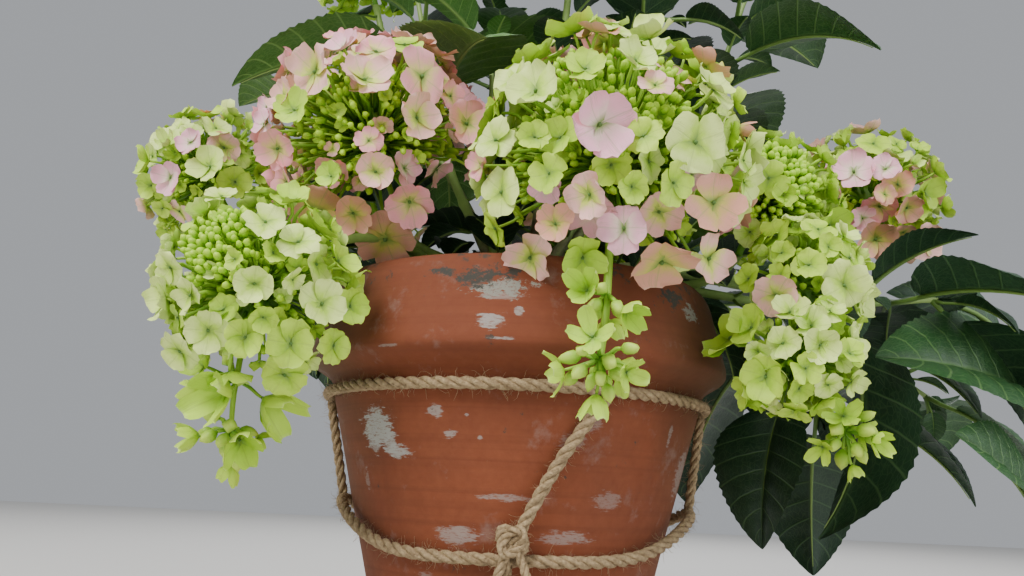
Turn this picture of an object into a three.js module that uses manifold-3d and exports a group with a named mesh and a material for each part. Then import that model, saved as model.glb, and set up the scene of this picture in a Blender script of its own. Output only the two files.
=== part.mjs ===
// A potted hydrangea in millimetres, +Z up: a terracotta pot lashed with jute rope and filled with
// soil, and a shrub whose flower heads and leafy shoots spill over the rim. The front looks along -Y
// and the origin is the centre of the pot's flat underside.

import * as THREE from 'three';
import { mergeVertices } from 'three/addons/utils/BufferGeometryUtils.js';
import Module from 'manifold-3d';

const wasm = await Module();
wasm.setup();

// Driving sizes

const clearance = 0.3;
const sliver = 0.02;
const fullTurn = 2 * Math.PI;
const degree = Math.PI / 180;
const goldenAngle = Math.PI * (3 - Math.sqrt(5));

const pot = {
  sides: 36,
  height: 265,
  footRadius: 84,
  footChamfer: 4,
  shoulderHeight: 182,
  shoulderRadius: 130.5,
  coveHeight: 190,
  coveRadius: 131.5,
  flareHeight: 196,
  flareRadius: 135.5,
  ledgeFootHeight: 204,
  ledgeFootRadius: 148.5,
  ledgeHeight: 209,
  ledgeRadius: 150,
  bandTopHeight: 255,
  bandTopRadius: 139,
  lipEdgeHeight: 262,
  lipEdgeRadius: 135,
  lipRadius: 131,
  mouthRadius: 125,
  throatHeight: 250,
  throatRadius: 122,
  waistRadius: 117,
  floorHeight: 12,
  floorRadius: 72,
};

const soil = { topHeight: 236, crown: 5, crownMargin: 8 };

const rope = {
  radius: 4,
  sides: 6,
  ringSteps: 36,
  upperHeight: 184,
  lowerHeight: 83,
  lowerRise: 30,
  riseSharpness: 6,
  leftStandOff: 3,
  rightStandOff: 9,
  standOffSharpness: 4,
  dropRadius: 3.5,
  dropSteps: 8,
  endSlant: 0.6,
  diagonalAngle: -66,
  diagonalBend: -78,
  diagonalSlant: 2.1,
  diagonalLean: 1.5,
};
const knot = { radius: 10, width: 1.1, depth: 0.75, around: 8, rows: 6, angle: -90 };
const tail = { radius: 3, steps: 8, spread: [0, 7, 11, 14], drop: 32, kick: 6 };

const stool = { radius: 30, flareRadius: 37, flareHeight: 5, sides: 24, domeSteps: 6 };
const cane = { baseRadius: 4.2, tipRadius: 2.8, steps: 5, sides: 5, firstPull: 0.4, lastPull: 0.35 };

const floret = {
  lobes: 4,
  shoulder: 27 * degree,
  notchDepth: 0.34,
  cup: 0.2,
  thickness: 1.8,
  smallest: 0.88,
  sizeRange: 0.24,
  mostTilt: 14 * degree,
  mostSink: 0.1,
  turnJitter: 0.35,
};
const pedicel = { radius: 1.9, sides: 3, rootShare: 0.4 };
const core = { share: 0.44, tailRadius: 6, coveredShare: 0.98 };
const headEntryShare = 0.78;
const rachis = { baseRadius: 3.2, tipRadius: 2.2, sides: 5 };
const bud = { radius: 4.6, length: 7.2, sides: 4, smallest: 0.8, sizeRange: 0.4 };

const leaf = {
  petiole: 26,
  petioleRadius: 2.1,
  petioleSides: 3,
  halfWidth: 0.33,
  fold: 0.3,
  thickness: 2.4,
  bend: 48 * degree,
  stations: [0.2, 0.52, 0.82],
  baseShift: 0.78,
  roundness: 0.85,
  shortest: 0.92,
  lengthRange: 0.16,
  leastBend: 0.7,
  bendRange: 0.6,
  spacing: 16,
  lowest: 58,
};
const leafTry = {
  most: 8,
  shrink: 0.07,
  swing: 10 * degree,
  swingMore: 14 * degree,
  pitch: 8 * degree,
  pitchMore: 16 * degree,
};
const leafSample = { steps: 3, across: [0.34, 0.67, 1], petiole: [0.5, 0.8] };
const shootStem = {
  baseRadius: 3,
  tipRadius: 1.7,
  sides: 4,
  gap: 34,
  firstNode: 0.45,
  lastGap: 0.6,
  leastRise: 8 * degree,
  moreRise: 50 * degree,
  taper: 0.4,
};

const margin = { limb: 5, pot: 3, mouth: 8, head: 5, foreignPower: 80 };
const seeds = { owner: 1000, ball: 100, buds: 50, item: 977, leaves: 50000, pair: 10 };

// Flower heads: each ball has a centre, a radius, the axis its florets open round, and counts

const heads = [
  {
    name: 'front-dome', leaves: { azimuth: -62, elevation: 34 }, balls: [
      { at: [52, -125, 326], radius: 88, axis: [0.1, -0.62, 0.78], florets: 24, spread: 118, size: 26 },
      { at: [46, -172, 232], radius: 24, axis: [0, -0.6, -0.8], florets: 2, spread: 90, size: 11, buds: 3 },
      { at: [42, -182, 194], radius: 26, axis: [0, -0.3, -0.95], florets: 3, spread: 110, size: 12, buds: 8 },
    ],
  },
  {
    name: 'right-cascade', leaves: { azimuth: -24, elevation: 36 }, balls: [
      { at: [168, -64, 324], radius: 51, axis: [0.4, -0.5, 0.77], florets: 11, spread: 118, size: 21 },
      { at: [177, -95, 261], radius: 46, axis: [0.75, -0.62, 0.1], florets: 10, spread: 105, size: 20 },
      { at: [168, -113, 212], radius: 41, axis: [0.3, -0.9, -0.2], florets: 8, spread: 110, size: 19 },
      { at: [199, -112, 168], radius: 24, axis: [0.3, -0.3, -1], florets: 3, spread: 110, size: 11, buds: 7 },
    ],
  },
  {
    name: 'left-dome', leaves: { azimuth: -136, elevation: 52 }, balls: [
      { at: [-107, -70, 356], radius: 78, axis: [-0.3, -0.5, 0.81], florets: 21, spread: 118, size: 24 },
    ],
  },
  {
    name: 'left-cascade', leaves: { azimuth: -162, elevation: 34 }, entry: [-0.6, -0.42, -0.62], balls: [
      { at: [-158, -133, 234], radius: 61, axis: [-0.3, -0.8, 0.5], florets: 15, spread: 125, size: 22 },
      { at: [-168, -126, 180], radius: 30, axis: [-0.3, -0.8, -0.3], florets: 5, spread: 115, size: 15 },
      { at: [-169, -122, 151], radius: 24, axis: [0, -0.3, -1], florets: 3, spread: 115, size: 12, buds: 6 },
    ],
  },
  {
    name: 'back-left-dome', pointed: true, leaves: { azimuth: 168, elevation: 36 }, balls: [
      { at: [-263, 60, 367], radius: 60, axis: [-0.45, -0.35, 0.82], florets: 14, spread: 120, size: 22 },
    ],
  },
  {
    name: 'back-right-dome', pointed: true, leaves: { azimuth: 4, elevation: 54 }, balls: [
      { at: [285, 50, 371], radius: 62, axis: [0.4, -0.35, 0.85], florets: 14, spread: 120, size: 23 },
    ],
  },
  {
    name: 'high-left-dome', pointed: true, leaves: { azimuth: 148, elevation: 66 }, balls: [
      { at: [-152, 80, 585], radius: 55, axis: [-0.25, 0.1, 0.96], florets: 12, spread: 122, size: 22 },
    ],
  },
  {
    name: 'top-dome', pointed: true, leaves: { azimuth: -40, elevation: 82 }, balls: [
      { at: [31, 0, 583], radius: 58, axis: [0.05, 0, 1], florets: 13, spread: 122, size: 22 },
    ],
  },
  {
    name: 'rear-left-dome', pointed: true, leaves: { azimuth: 132, elevation: 45 }, balls: [
      { at: [-150, 150, 400], radius: 72, axis: [-0.35, 0.5, 0.79], florets: 16, spread: 120, size: 25 },
    ],
  },
  {
    name: 'rear-dome', pointed: true, leaves: { azimuth: 80, elevation: 30 }, balls: [
      { at: [45, 190, 345], radius: 80, axis: [0.1, 0.62, 0.78], florets: 18, spread: 120, size: 27 },
    ],
  },
  {
    name: 'rear-right-dome', pointed: true, leaves: { azimuth: 50, elevation: 47 }, balls: [
      { at: [165, 140, 380], radius: 66, axis: [0.45, 0.4, 0.8], florets: 14, spread: 118, size: 24 },
    ],
  },
];

// Leafy shoots: foot and axis of the stem, the turn of its first pair of leaves, pairs, blade length

const shoots = [
  {
    name: 'high-left', leaves: { azimuth: 204, elevation: 64 },
    foot: [-72, 26, 410], axis: [-0.22, 0.02, 0.97], turn: 196, pairs: 5, blade: 150,
  },
  {
    name: 'upper-middle', leaves: { azimuth: 262, elevation: 68 },
    foot: [-24, -10, 304], axis: [-0.05, 0.03, 1], turn: 130, pairs: 5, blade: 120,
  },
  {
    name: 'upper-right', leaves: { azimuth: -30, elevation: 64 },
    foot: [66, 30, 400], axis: [0.3, -0.1, 0.95], turn: -16, pairs: 4, blade: 146,
  },
  {
    name: 'high-right', leaves: { azimuth: 8, elevation: 70 },
    foot: [150, 50, 440], axis: [0.3, 0, 0.95], turn: -44, pairs: 4, blade: 140,
  },
  {
    name: 'right', leaves: { azimuth: -4, elevation: 34 },
    foot: [236, 14, 272], axis: [0.8, 0.05, 0.1], turn: 90, pairs: 3, blade: 165,
  },
  {
    name: 'low-right', leaves: { azimuth: 28, elevation: 28 },
    foot: [196, 82, 262], axis: [0.55, 0.1, -0.6], turn: -30, pairs: 3, blade: 160,
  },
  {
    name: 'far-right', leaves: { azimuth: 26, elevation: 44 },
    foot: [292, 112, 262], axis: [0.7, 0.2, -0.4], turn: 20, pairs: 3, blade: 145,
  },
  {
    name: 'rear-left', leaves: { azimuth: 150, elevation: 32 },
    foot: [-176, 112, 296], axis: [-0.35, 0.5, 0.6], turn: 60, pairs: 3, blade: 120,
  },
  {
    name: 'rear', leaves: { azimuth: 108, elevation: 34 },
    foot: [-52, 172, 285], axis: [-0.2, 0.8, 0.3], turn: 100, pairs: 3, blade: 140,
  },
  {
    name: 'rear-right', leaves: { azimuth: 62, elevation: 34 },
    foot: [132, 170, 282], axis: [0.4, 0.7, 0.2], turn: 60, pairs: 3, blade: 140,
  },
  {
    name: 'high-rear', leaves: { azimuth: 104, elevation: 60 },
    foot: [-20, 90, 400], axis: [-0.05, 0.2, 0.97], turn: 80, pairs: 5, blade: 140,
  },
  {
    name: 'rear-middle', leaves: { azimuth: 58, elevation: 66 },
    foot: [84, 100, 400], axis: [0.3, 0.35, 0.88], turn: 30, pairs: 4, blade: 140,
  },
  {
    name: 'left-middle', leaves: { azimuth: 176, elevation: 54 },
    foot: [-160, 40, 345], axis: [-0.15, 0.1, 0.98], turn: 60, pairs: 3, blade: 120,
  },
];

// Colours, from the photograph

function finish(colour, roughness) {
  return new THREE.MeshStandardMaterial({ color: colour, roughness, metalness: 0 });
}

const terracotta = () => finish(0xa8563a, 0.85);
const earth = () => finish(0x2e241b, 1);
const jute = () => finish(0xb09468, 0.9);
const bark = () => finish(0x7a6248, 0.85);
const greenStem = () => finish(0x7fa347, 0.6);
const blossom = () => finish(0xcbdc8c, 0.6);
const foliage = () => finish(0x2f5f36, 0.45);

// Helpers

function vector(values) {
  return new THREE.Vector3(...values);
}

// Seeded random numbers from 0 to 1
function randomFrom(seed) {
  let state = seed >>> 0;
  return () => {
    state = (state + 0x6d2b79f5) >>> 0;
    let mixed = Math.imul(state ^ (state >>> 15), state | 1);
    mixed = (mixed + Math.imul(mixed ^ (mixed >>> 7), mixed | 61)) ^ mixed;
    return ((mixed ^ (mixed >>> 14)) >>> 0) / 4294967296;
  };
}

function solidOf(geometry) {
  const bare = geometry.clone();
  bare.deleteAttribute('normal');
  bare.deleteAttribute('uv');
  const merged = mergeVertices(bare, 1e-4);
  const vertProperties = Float32Array.from(merged.attributes.position.array);
  const triVerts = Uint32Array.from(merged.index.array);
  return new wasm.Manifold(new wasm.Mesh({ numProp: 3, vertProperties, triVerts }));
}

// The pieces joined, without the slivers that crossing faces leave; the largest body is kept, which
// fills sealed hollows and drops scraps
function joined(solids) {
  const whole = solids.reduce((sum, piece) => sum.add(piece)).simplify(sliver);
  return whole.decompose().reduce((best, body) => (body.volume() > best.volume() ? body : best));
}

function geometryOf(solid) {
  const mesh = solid.getMesh();
  const geometry = new THREE.BufferGeometry();
  const positions = new Float32Array(mesh.numVert * 3);
  for (let vertex = 0; vertex < mesh.numVert; vertex += 1) {
    for (let axis = 0; axis < 3; axis += 1) {
      positions[3 * vertex + axis] = mesh.vertProperties[mesh.numProp * vertex + axis];
    }
  }
  geometry.setAttribute('position', new THREE.BufferAttribute(positions, 3));
  geometry.setIndex(new THREE.BufferAttribute(Uint32Array.from(mesh.triVerts), 1));
  geometry.computeVertexNormals();
  return geometry;
}

function geometryFrom(points, triangles) {
  const geometry = new THREE.BufferGeometry();
  const positions = points.flatMap((point) => [point.x, point.y, point.z]);
  geometry.setAttribute('position', new THREE.Float32BufferAttribute(positions, 3));
  geometry.setIndex(triangles);
  return geometry;
}

// Triangles between two rings that turn the same way, whose counts of points may differ
function bridge(low, lowCount, high, highCount) {
  const [wide, wideCount] = lowCount >= highCount ? [low, lowCount] : [high, highCount];
  const [slim, slimCount] = lowCount >= highCount ? [high, highCount] : [low, lowCount];
  const outward = wide === low ? (a, b, c) => [a, b, c] : (a, b, c) => [b, a, c];
  const triangles = [];
  for (let index = 0; index < wideCount; index += 1) {
    const next = (index + 1) % wideCount;
    const place = Math.floor((index * slimCount) / wideCount);
    const nextPlace = Math.floor(((index + 1) * slimCount) / wideCount);
    triangles.push(...outward(wide + index, wide + next, slim + place));
    if (nextPlace !== place && slimCount > 1) {
      triangles.push(...outward(wide + next, slim + (nextPlace % slimCount), slim + place));
    }
  }
  return triangles;
}

// A closed skin over rings of points from a root to a tip; a ring of one point is a sharp end
function skinOver(rings) {
  const triangles = [];
  const starts = [];
  let count = 0;
  for (const ring of rings) {
    starts.push(count);
    count += ring.length;
  }
  for (let index = 1; index < rings.length; index += 1) {
    const [low, high] = [rings[index - 1], rings[index]];
    triangles.push(...bridge(starts[index - 1], low.length, starts[index], high.length));
  }
  const last = starts[rings.length - 1];
  for (let side = 1; side < rings[0].length - 1; side += 1) {
    triangles.push(0, side + 1, side);
  }
  for (let side = 1; side < rings[rings.length - 1].length - 1; side += 1) {
    triangles.push(last, last + side, last + side + 1);
  }
  return geometryFrom(rings.flat(), triangles);
}

function ringAbout(centre, across, along, radius, sides) {
  return Array.from({ length: sides }, (_, side) => {
    const angle = (fullTurn * side) / sides;
    const point = centre.clone().addScaledVector(across, radius * Math.cos(angle));
    return point.addScaledVector(along, radius * Math.sin(angle));
  });
}

// A limb whose round section tapers evenly along a curve, with flat ends
function taperedLimb(curve, baseRadius, tipRadius, steps, sides) {
  const frames = curve.computeFrenetFrames(steps, false);
  const rings = frames.normals.map((normal, step) => {
    const radius = THREE.MathUtils.lerp(baseRadius, tipRadius, step / steps);
    return ringAbout(curve.getPointAt(step / steps), normal, frames.binormals[step], radius, sides);
  });
  return skinOver(rings);
}

function straightLimb(start, end, baseRadius, tipRadius, sides) {
  return taperedLimb(new THREE.LineCurve3(start, end), baseRadius, tipRadius, 1, sides);
}

// Axes of a frame that faces along a direction and is turned about it
function facingFrame(facing, turn) {
  const aside = Math.abs(facing.z) > 0.9 ? vector([1, 0, 0]) : vector([0, 0, 1]);
  const across = new THREE.Vector3().crossVectors(aside, facing).normalize();
  across.applyAxisAngle(facing, turn);
  const along = new THREE.Vector3().crossVectors(facing, across);
  return { across, along, facing };
}

// A point given by its three distances along a frame's axes
function pointIn(frame, origin, across, along, facing) {
  const point = origin.clone().addScaledVector(frame.across, across);
  return point.addScaledVector(frame.along, along).addScaledVector(frame.facing, facing);
}

// Pot, soil and the woody foot

function potGeometry() {
  const profile = [
    [0, 0],
    [pot.footRadius - pot.footChamfer, 0],
    [pot.footRadius, pot.footChamfer],
    [pot.shoulderRadius, pot.shoulderHeight],
    [pot.coveRadius, pot.coveHeight],
    [pot.flareRadius, pot.flareHeight],
    [pot.ledgeFootRadius, pot.ledgeFootHeight],
    [pot.ledgeRadius, pot.ledgeHeight],
    [pot.bandTopRadius, pot.bandTopHeight],
    [pot.lipEdgeRadius, pot.lipEdgeHeight],
    [pot.lipRadius, pot.height],
    [pot.mouthRadius, pot.lipEdgeHeight],
    [pot.throatRadius, pot.throatHeight],
    [pot.waistRadius, pot.shoulderHeight],
    [pot.floorRadius, pot.floorHeight],
    [0, pot.floorHeight],
  ];
  const outline = profile.map(([radius, height]) => new THREE.Vector2(radius, height));
  return turned(outline, pot.sides);
}

// A solid of revolution about Z
function turned(outline, sides) {
  const lathe = new THREE.LatheGeometry(outline, sides);
  lathe.rotateX(Math.PI / 2);
  return lathe;
}

function innerRadius(height) {
  const share = (height - pot.floorHeight) / (pot.shoulderHeight - pot.floorHeight);
  if (share <= 1) {
    return THREE.MathUtils.lerp(pot.floorRadius, pot.waistRadius, share);
  }
  const upper = (height - pot.shoulderHeight) / (pot.throatHeight - pot.shoulderHeight);
  return THREE.MathUtils.lerp(pot.waistRadius, pot.throatRadius, upper);
}

function soilGeometry() {
  const low = pot.floorHeight + clearance;
  const edge = soil.topHeight - soil.crown;
  const outline = [
    new THREE.Vector2(0, low),
    new THREE.Vector2(innerRadius(low) - clearance, low),
    new THREE.Vector2(innerRadius(pot.shoulderHeight) - clearance, pot.shoulderHeight),
    new THREE.Vector2(innerRadius(edge) - clearance, edge),
    new THREE.Vector2(stool.flareRadius + soil.crownMargin, soil.topHeight),
    new THREE.Vector2(0, soil.topHeight),
  ];
  return turned(outline, pot.sides);
}

const stoolBase = soil.topHeight + clearance;

function stoolGeometry() {
  const outline = [new THREE.Vector2(0, 0), new THREE.Vector2(stool.flareRadius, 0)];
  const firstAngle = Math.asin(stool.flareHeight / stool.radius);
  for (let step = 0; step <= stool.domeSteps; step += 1) {
    const angle = THREE.MathUtils.lerp(firstAngle, Math.PI / 2, step / stool.domeSteps);
    const reach = step === stool.domeSteps ? 0 : stool.radius * Math.cos(angle);
    outline.push(new THREE.Vector2(reach, stool.radius * Math.sin(angle)));
  }
  return turned(outline, stool.sides).translate(0, 0, stoolBase);
}

// Rope lashing

// The rope's sections have a corner towards the wall and flat tops and undersides
const ropeHalfHeight = rope.radius * Math.sin(60 * degree);
const ropeClearance = 0.5;

// Radius of the pot's outside wall, below its band
function bodyRadius(height) {
  const share = (height - pot.footChamfer) / (pot.shoulderHeight - pot.footChamfer);
  return THREE.MathUtils.lerp(pot.footRadius, pot.shoulderRadius, Math.min(share, 1));
}

function lowerRingHeight(angle) {
  return rope.lowerHeight + rope.lowerRise * Math.abs(Math.cos(angle)) ** rope.riseSharpness;
}

// How far the slack lower ring hangs away from the wall: nothing in front, most on the right
function standOff(angle) {
  const widest = THREE.MathUtils.lerp(rope.leftStandOff, rope.rightStandOff, (1 + Math.cos(angle)) / 2);
  return widest * Math.abs(Math.cos(angle)) ** rope.standOffSharpness;
}

function lowerRingRadius(angle) {
  return bodyRadius(lowerRingHeight(angle)) + rope.radius + ropeClearance + standOff(angle);
}

function upperRingGeometry() {
  const ringRadius = pot.shoulderRadius + rope.radius + ropeClearance;
  const ring = new THREE.TorusGeometry(ringRadius, rope.radius, rope.sides, rope.ringSteps);
  return ring.translate(0, 0, rope.upperHeight);
}

function lowerRingGeometry() {
  const drawnRadius = pot.height;
  const ring = new THREE.TorusGeometry(drawnRadius, rope.radius, rope.sides, rope.ringSteps);
  const places = ring.attributes.position;
  for (let index = 0; index < places.count; index += 1) {
    const angle = Math.atan2(places.getY(index), places.getX(index));
    const offset = Math.hypot(places.getX(index), places.getY(index)) - drawnRadius;
    const reach = offset + lowerRingRadius(angle);
    const height = places.getZ(index) + lowerRingHeight(angle);
    places.setXYZ(index, reach * Math.cos(angle), reach * Math.sin(angle), height);
  }
  return ring;
}

function roundSection(radius, sides) {
  const section = new THREE.Shape();
  for (let side = 0; side < sides; side += 1) {
    const angle = (fullTurn * side) / sides;
    const put = side === 0 ? 'moveTo' : 'lineTo';
    section[put](radius * Math.cos(angle), radius * Math.sin(angle));
  }
  section.closePath();
  return section;
}

function ropeAlong(points, radius, steps) {
  const path = new THREE.CatmullRomCurve3(points);
  const settings = { steps, extrudePath: path, bevelEnabled: false };
  return new THREE.ExtrudeGeometry(roundSection(radius, rope.sides), settings);
}

// A point beside the pot's wall, at an angle about Z from +X
function besideWall(angle, height, gap) {
  const reach = bodyRadius(height) + rope.radius + ropeClearance + gap;
  return vector([reach * Math.cos(angle), reach * Math.sin(angle), height]);
}

const ropeTop = rope.upperHeight - ropeHalfHeight - clearance;
const knotAngle = knot.angle * degree;
const knotHeight = lowerRingHeight(knotAngle) + ropeHalfHeight + clearance + knot.radius;
const knotReach = bodyRadius(knotHeight) + knot.radius * knot.depth + 2 * ropeClearance;
const knotPlace = vector([0, -knotReach, knotHeight]);

// An upright length beside the pot, from just under the upper ring to just above the lower one
function dropGeometry(angle) {
  const high = ropeTop - rope.endSlant;
  const low = lowerRingHeight(angle) + ropeHalfHeight + clearance + rope.endSlant;
  const points = [0, 1, 2, 3].map((third) => {
    const share = third / 3;
    return besideWall(angle, THREE.MathUtils.lerp(high, low, share), standOff(angle) * share);
  });
  return ropeAlong(points, rope.dropRadius, rope.dropSteps);
}

// The length that slants from the upper ring down to the knot
function diagonalGeometry() {
  const start = besideWall(rope.diagonalAngle * degree, ropeTop - rope.diagonalSlant, 0);
  const beside = vector([knot.radius * Math.sin(30 * degree), 0, knot.radius * Math.cos(30 * degree)]);
  const end = knotPlace.clone().addScaledVector(beside, 1 + clearance / knot.radius);
  const middle = besideWall(rope.diagonalBend * degree, (start.z + end.z) / 2, rope.diagonalLean);
  return ropeAlong([start, middle, end], rope.radius, rope.dropSteps);
}

// A flattened ball with two tails that hang in front of the lower ring
function knotGeometry() {
  const ball = new THREE.SphereGeometry(knot.radius, knot.around, knot.rows);
  ball.rotateX(Math.PI / 2);
  ball.scale(knot.width, knot.depth, 1);
  ball.translate(knotPlace.x, knotPlace.y, knotPlace.z);
  const reach = lowerRingRadius(knotAngle) + rope.radius + tail.radius + ropeClearance;
  const tails = [-1, 1].map((side) => {
    const length = tail.drop - side * tail.kick;
    const points = tail.spread.map((spread, place) => {
      const share = place / (tail.spread.length - 1);
      const height = THREE.MathUtils.lerp(knotHeight, lowerRingHeight(knotAngle) - length, share);
      return vector([side * spread, -reach, height]);
    });
    return ropeAlong(points, tail.radius, tail.steps);
  });
  return geometryOf(joined([ball, ...tails].map(solidOf)));
}

// Canes

const stoolCentre = vector([0, 0, stoolBase]);

function directionOf(start) {
  const azimuth = start.azimuth * degree;
  const elevation = start.elevation * degree;
  const level = Math.cos(elevation);
  return vector([level * Math.cos(azimuth), level * Math.sin(azimuth), Math.sin(elevation)]);
}

// A cane leaves the woody foot square to it and reaches its tip along the tip's own axis
function caneCurve(start, tip, tipAxis) {
  const outward = directionOf(start);
  const root = stoolCentre.clone().addScaledVector(outward, stool.radius + clearance);
  const span = root.distanceTo(tip);
  const firstPull = root.clone().addScaledVector(outward, span * cane.firstPull);
  const lastPull = tip.clone().addScaledVector(tipAxis, -span * cane.lastPull);
  return new THREE.CubicBezierCurve3(root, firstPull, lastPull, tip);
}

function headCane(head) {
  const [first] = head.balls;
  const axis = (head.entry ? vector(head.entry) : vector(first.axis)).normalize();
  const tip = vector(first.at).addScaledVector(axis, -first.radius * headEntryShare);
  return { name: head.name, curve: caneCurve(head.leaves, tip, axis), tip, axis };
}

function shootCane(shoot) {
  const axis = vector(shoot.axis).normalize();
  const tip = vector(shoot.foot);
  return { name: shoot.name, curve: caneCurve(shoot.leaves, tip, axis), tip, axis };
}

const headCanes = heads.map(headCane);
const shootCanes = shoots.map(shootCane);
const canes = [...headCanes, ...shootCanes];

// Tests that keep each mass in its own space

const canePaths = canes.map(({ curve }) => curve.getSpacedPoints(16));
const stemPaths = shoots.map((shoot) => {
  const axis = vector(shoot.axis).normalize();
  const start = vector(shoot.foot).addScaledVector(axis, clearance);
  return [start, start.clone().addScaledVector(axis, shootStem.gap * (shoot.pairs - 1 + shootStem.lastGap))];
});
const headBalls = heads.flatMap((head, owner) => head.balls.map((ball) => ({
  owner, centre: vector(ball.at), radius: ball.radius,
})));

function power(point, ball) {
  return point.distanceToSquared(ball.centre) - ball.radius ** 2;
}

const segment = new THREE.Line3();
const nearest = new THREE.Vector3();

function nearPath(point, path) {
  return path.some((end, place) => {
    if (place === 0) {
      return false;
    }
    segment.set(path[place - 1], end);
    segment.closestPointToPoint(point, true, nearest);
    return nearest.distanceTo(point) < cane.baseRadius + margin.limb;
  });
}

function touchesCane(point) {
  return canePaths.some((path) => nearPath(point, path));
}

function touchesStem(point, owner) {
  return stemPaths.some((path, index) => index !== owner && nearPath(point, path));
}

function touchesPot(point) {
  const reach = Math.hypot(point.x, point.y);
  const inMouth = reach < pot.throatRadius - margin.mouth && point.z > soil.topHeight + margin.mouth;
  if (point.z > pot.height + margin.pot || inMouth) {
    return false;
  }
  const taper = (pot.ledgeRadius - pot.bandTopRadius) / (pot.bandTopHeight - pot.ledgeHeight);
  const wall = pot.ledgeRadius - Math.max(0, point.z - pot.ledgeHeight) * taper;
  return reach < wall + margin.pot;
}

function floretFits(points, owner, ball) {
  const own = { centre: vector(ball.at), radius: ball.radius };
  return points.every((point) => {
    const ownPower = power(point, own);
    const limit = ownPower + margin.foreignPower;
    const foreign = headBalls.some((other) => other.owner !== owner && power(point, other) <= limit);
    return !foreign && !touchesPot(point) && !touchesCane(point);
  });
}

// Points of the leaves placed so far, which later leaves keep clear of
const leafPoints = [];

function leafFits(points, owner) {
  return points.every((point) => (
    point.z > leaf.lowest && !touchesPot(point) && !touchesCane(point) && !touchesStem(point, owner)
    && !headBalls.some((ball) => ball.centre.distanceTo(point) < ball.radius + margin.head)
    && !leafPoints.some((other) => other.distanceTo(point) < leaf.spacing)
  ));
}

// Florets and buds

// A thin cupped floret on its stalk, from the stalk's root to the floret's middle; its lobes are broad,
// or pointed on the heads at the back
function floretRings(radius, root, middle, frame, pointed) {
  const rim = [];
  for (let lobe = 0; lobe < floret.lobes; lobe += 1) {
    const along = (fullTurn * lobe) / floret.lobes;
    const tips = pointed ? [[along, 1]] : [[along - floret.shoulder, 1], [along + floret.shoulder, 1]];
    const corners = [...tips, [along + Math.PI / floret.lobes, 1 - floret.notchDepth]];
    for (const [angle, share] of corners) {
      const rise = radius * floret.cup * share ** 2;
      const reach = radius * share;
      rim.push(pointIn(frame, middle, reach * Math.cos(angle), reach * Math.sin(angle), rise));
    }
  }
  const back = pointIn(frame, middle, 0, 0, -floret.thickness / 2);
  return [...stalkRings(root, back, frame), rim, [pointIn(frame, middle, 0, 0, floret.thickness / 2)]];
}

// A stalk that widens from a point inside the core
function stalkRings(root, end, frame) {
  return [[root], ringAbout(end, frame.across, frame.along, pedicel.radius, pedicel.sides)];
}

function budRings(scale, root, middle, frame) {
  const neck = pointIn(frame, middle, 0, 0, -bud.length * scale);
  const waist = ringAbout(middle, frame.across, frame.along, bud.radius * scale, bud.sides);
  return [...stalkRings(root, neck, frame), waist, [pointIn(frame, middle, 0, 0, bud.length * scale)]];
}

function tilted(direction, random, most) {
  const frame = facingFrame(direction, random() * fullTurn);
  return direction.clone().applyAxisAngle(frame.across, random() * most);
}

// Places of florets or buds: a golden-angle spiral from the ball's axis out to its spread
function spiral(ball, count, seed, shift) {
  const axis = vector(ball.axis).normalize();
  const frame = facingFrame(axis, 0);
  const lowest = Math.cos(ball.spread * degree);
  return Array.from({ length: count }, (_, index) => {
    const random = randomFrom(seed + seeds.item * index);
    const level = 1 - ((index + 0.5) / count) * (1 - lowest);
    const turn = shift + index * goldenAngle + (random() - 0.5) * floret.turnJitter;
    const side = Math.sqrt(1 - level * level);
    const direction = axis.clone().multiplyScalar(level);
    direction.addScaledVector(frame.across, side * Math.cos(turn));
    direction.addScaledVector(frame.along, side * Math.sin(turn));
    return { direction, random };
  });
}

function samplesOf(rings, middle) {
  return [middle, ...rings.flatMap((corner) => [corner, corner.clone().lerp(middle, 0.5)])];
}

function ballFlorets(ball, owner, seed, others, pointed) {
  const centre = vector(ball.at);
  const pieces = [];
  for (const { direction, random } of spiral(ball, ball.florets, seed, 0)) {
    const radius = ball.size * (floret.smallest + floret.sizeRange * random());
    const frame = facingFrame(tilted(direction, random, floret.mostTilt), random() * fullTurn);
    const reach = Math.sqrt(ball.radius ** 2 - radius ** 2) - radius * floret.cup;
    const middle = centre.clone().addScaledVector(direction, reach * (1 - floret.mostSink * random()));
    const root = centre.clone().addScaledVector(direction, coreRadius(ball) * pedicel.rootShare);
    const rings = floretRings(radius, root, middle, frame, pointed);
    const inside = others.some((other) => (
      middle.distanceTo(vector(other.at)) < other.radius * core.coveredShare));
    if (!inside && floretFits(samplesOf(rings[2], middle), owner, ball)) {
      pieces.push(skinOver(rings));
    }
  }
  return pieces;
}

function ballBuds(ball, owner, seed) {
  const centre = vector(ball.at);
  const pieces = [];
  for (const { direction, random } of spiral(ball, ball.buds ?? 0, seed, 1)) {
    const scale = bud.smallest + bud.sizeRange * random();
    const frame = facingFrame(direction, 0);
    const middle = centre.clone().addScaledVector(direction, ball.radius - bud.length * scale);
    const root = centre.clone().addScaledVector(direction, coreRadius(ball) * pedicel.rootShare);
    const rings = budRings(scale, root, middle, frame);
    if (floretFits(samplesOf(rings[2], middle), owner, ball)) {
      pieces.push(skinOver(rings));
    }
  }
  return pieces;
}

function coreRadius(ball) {
  return ball.buds ? core.tailRadius : ball.radius * core.share;
}

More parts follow.
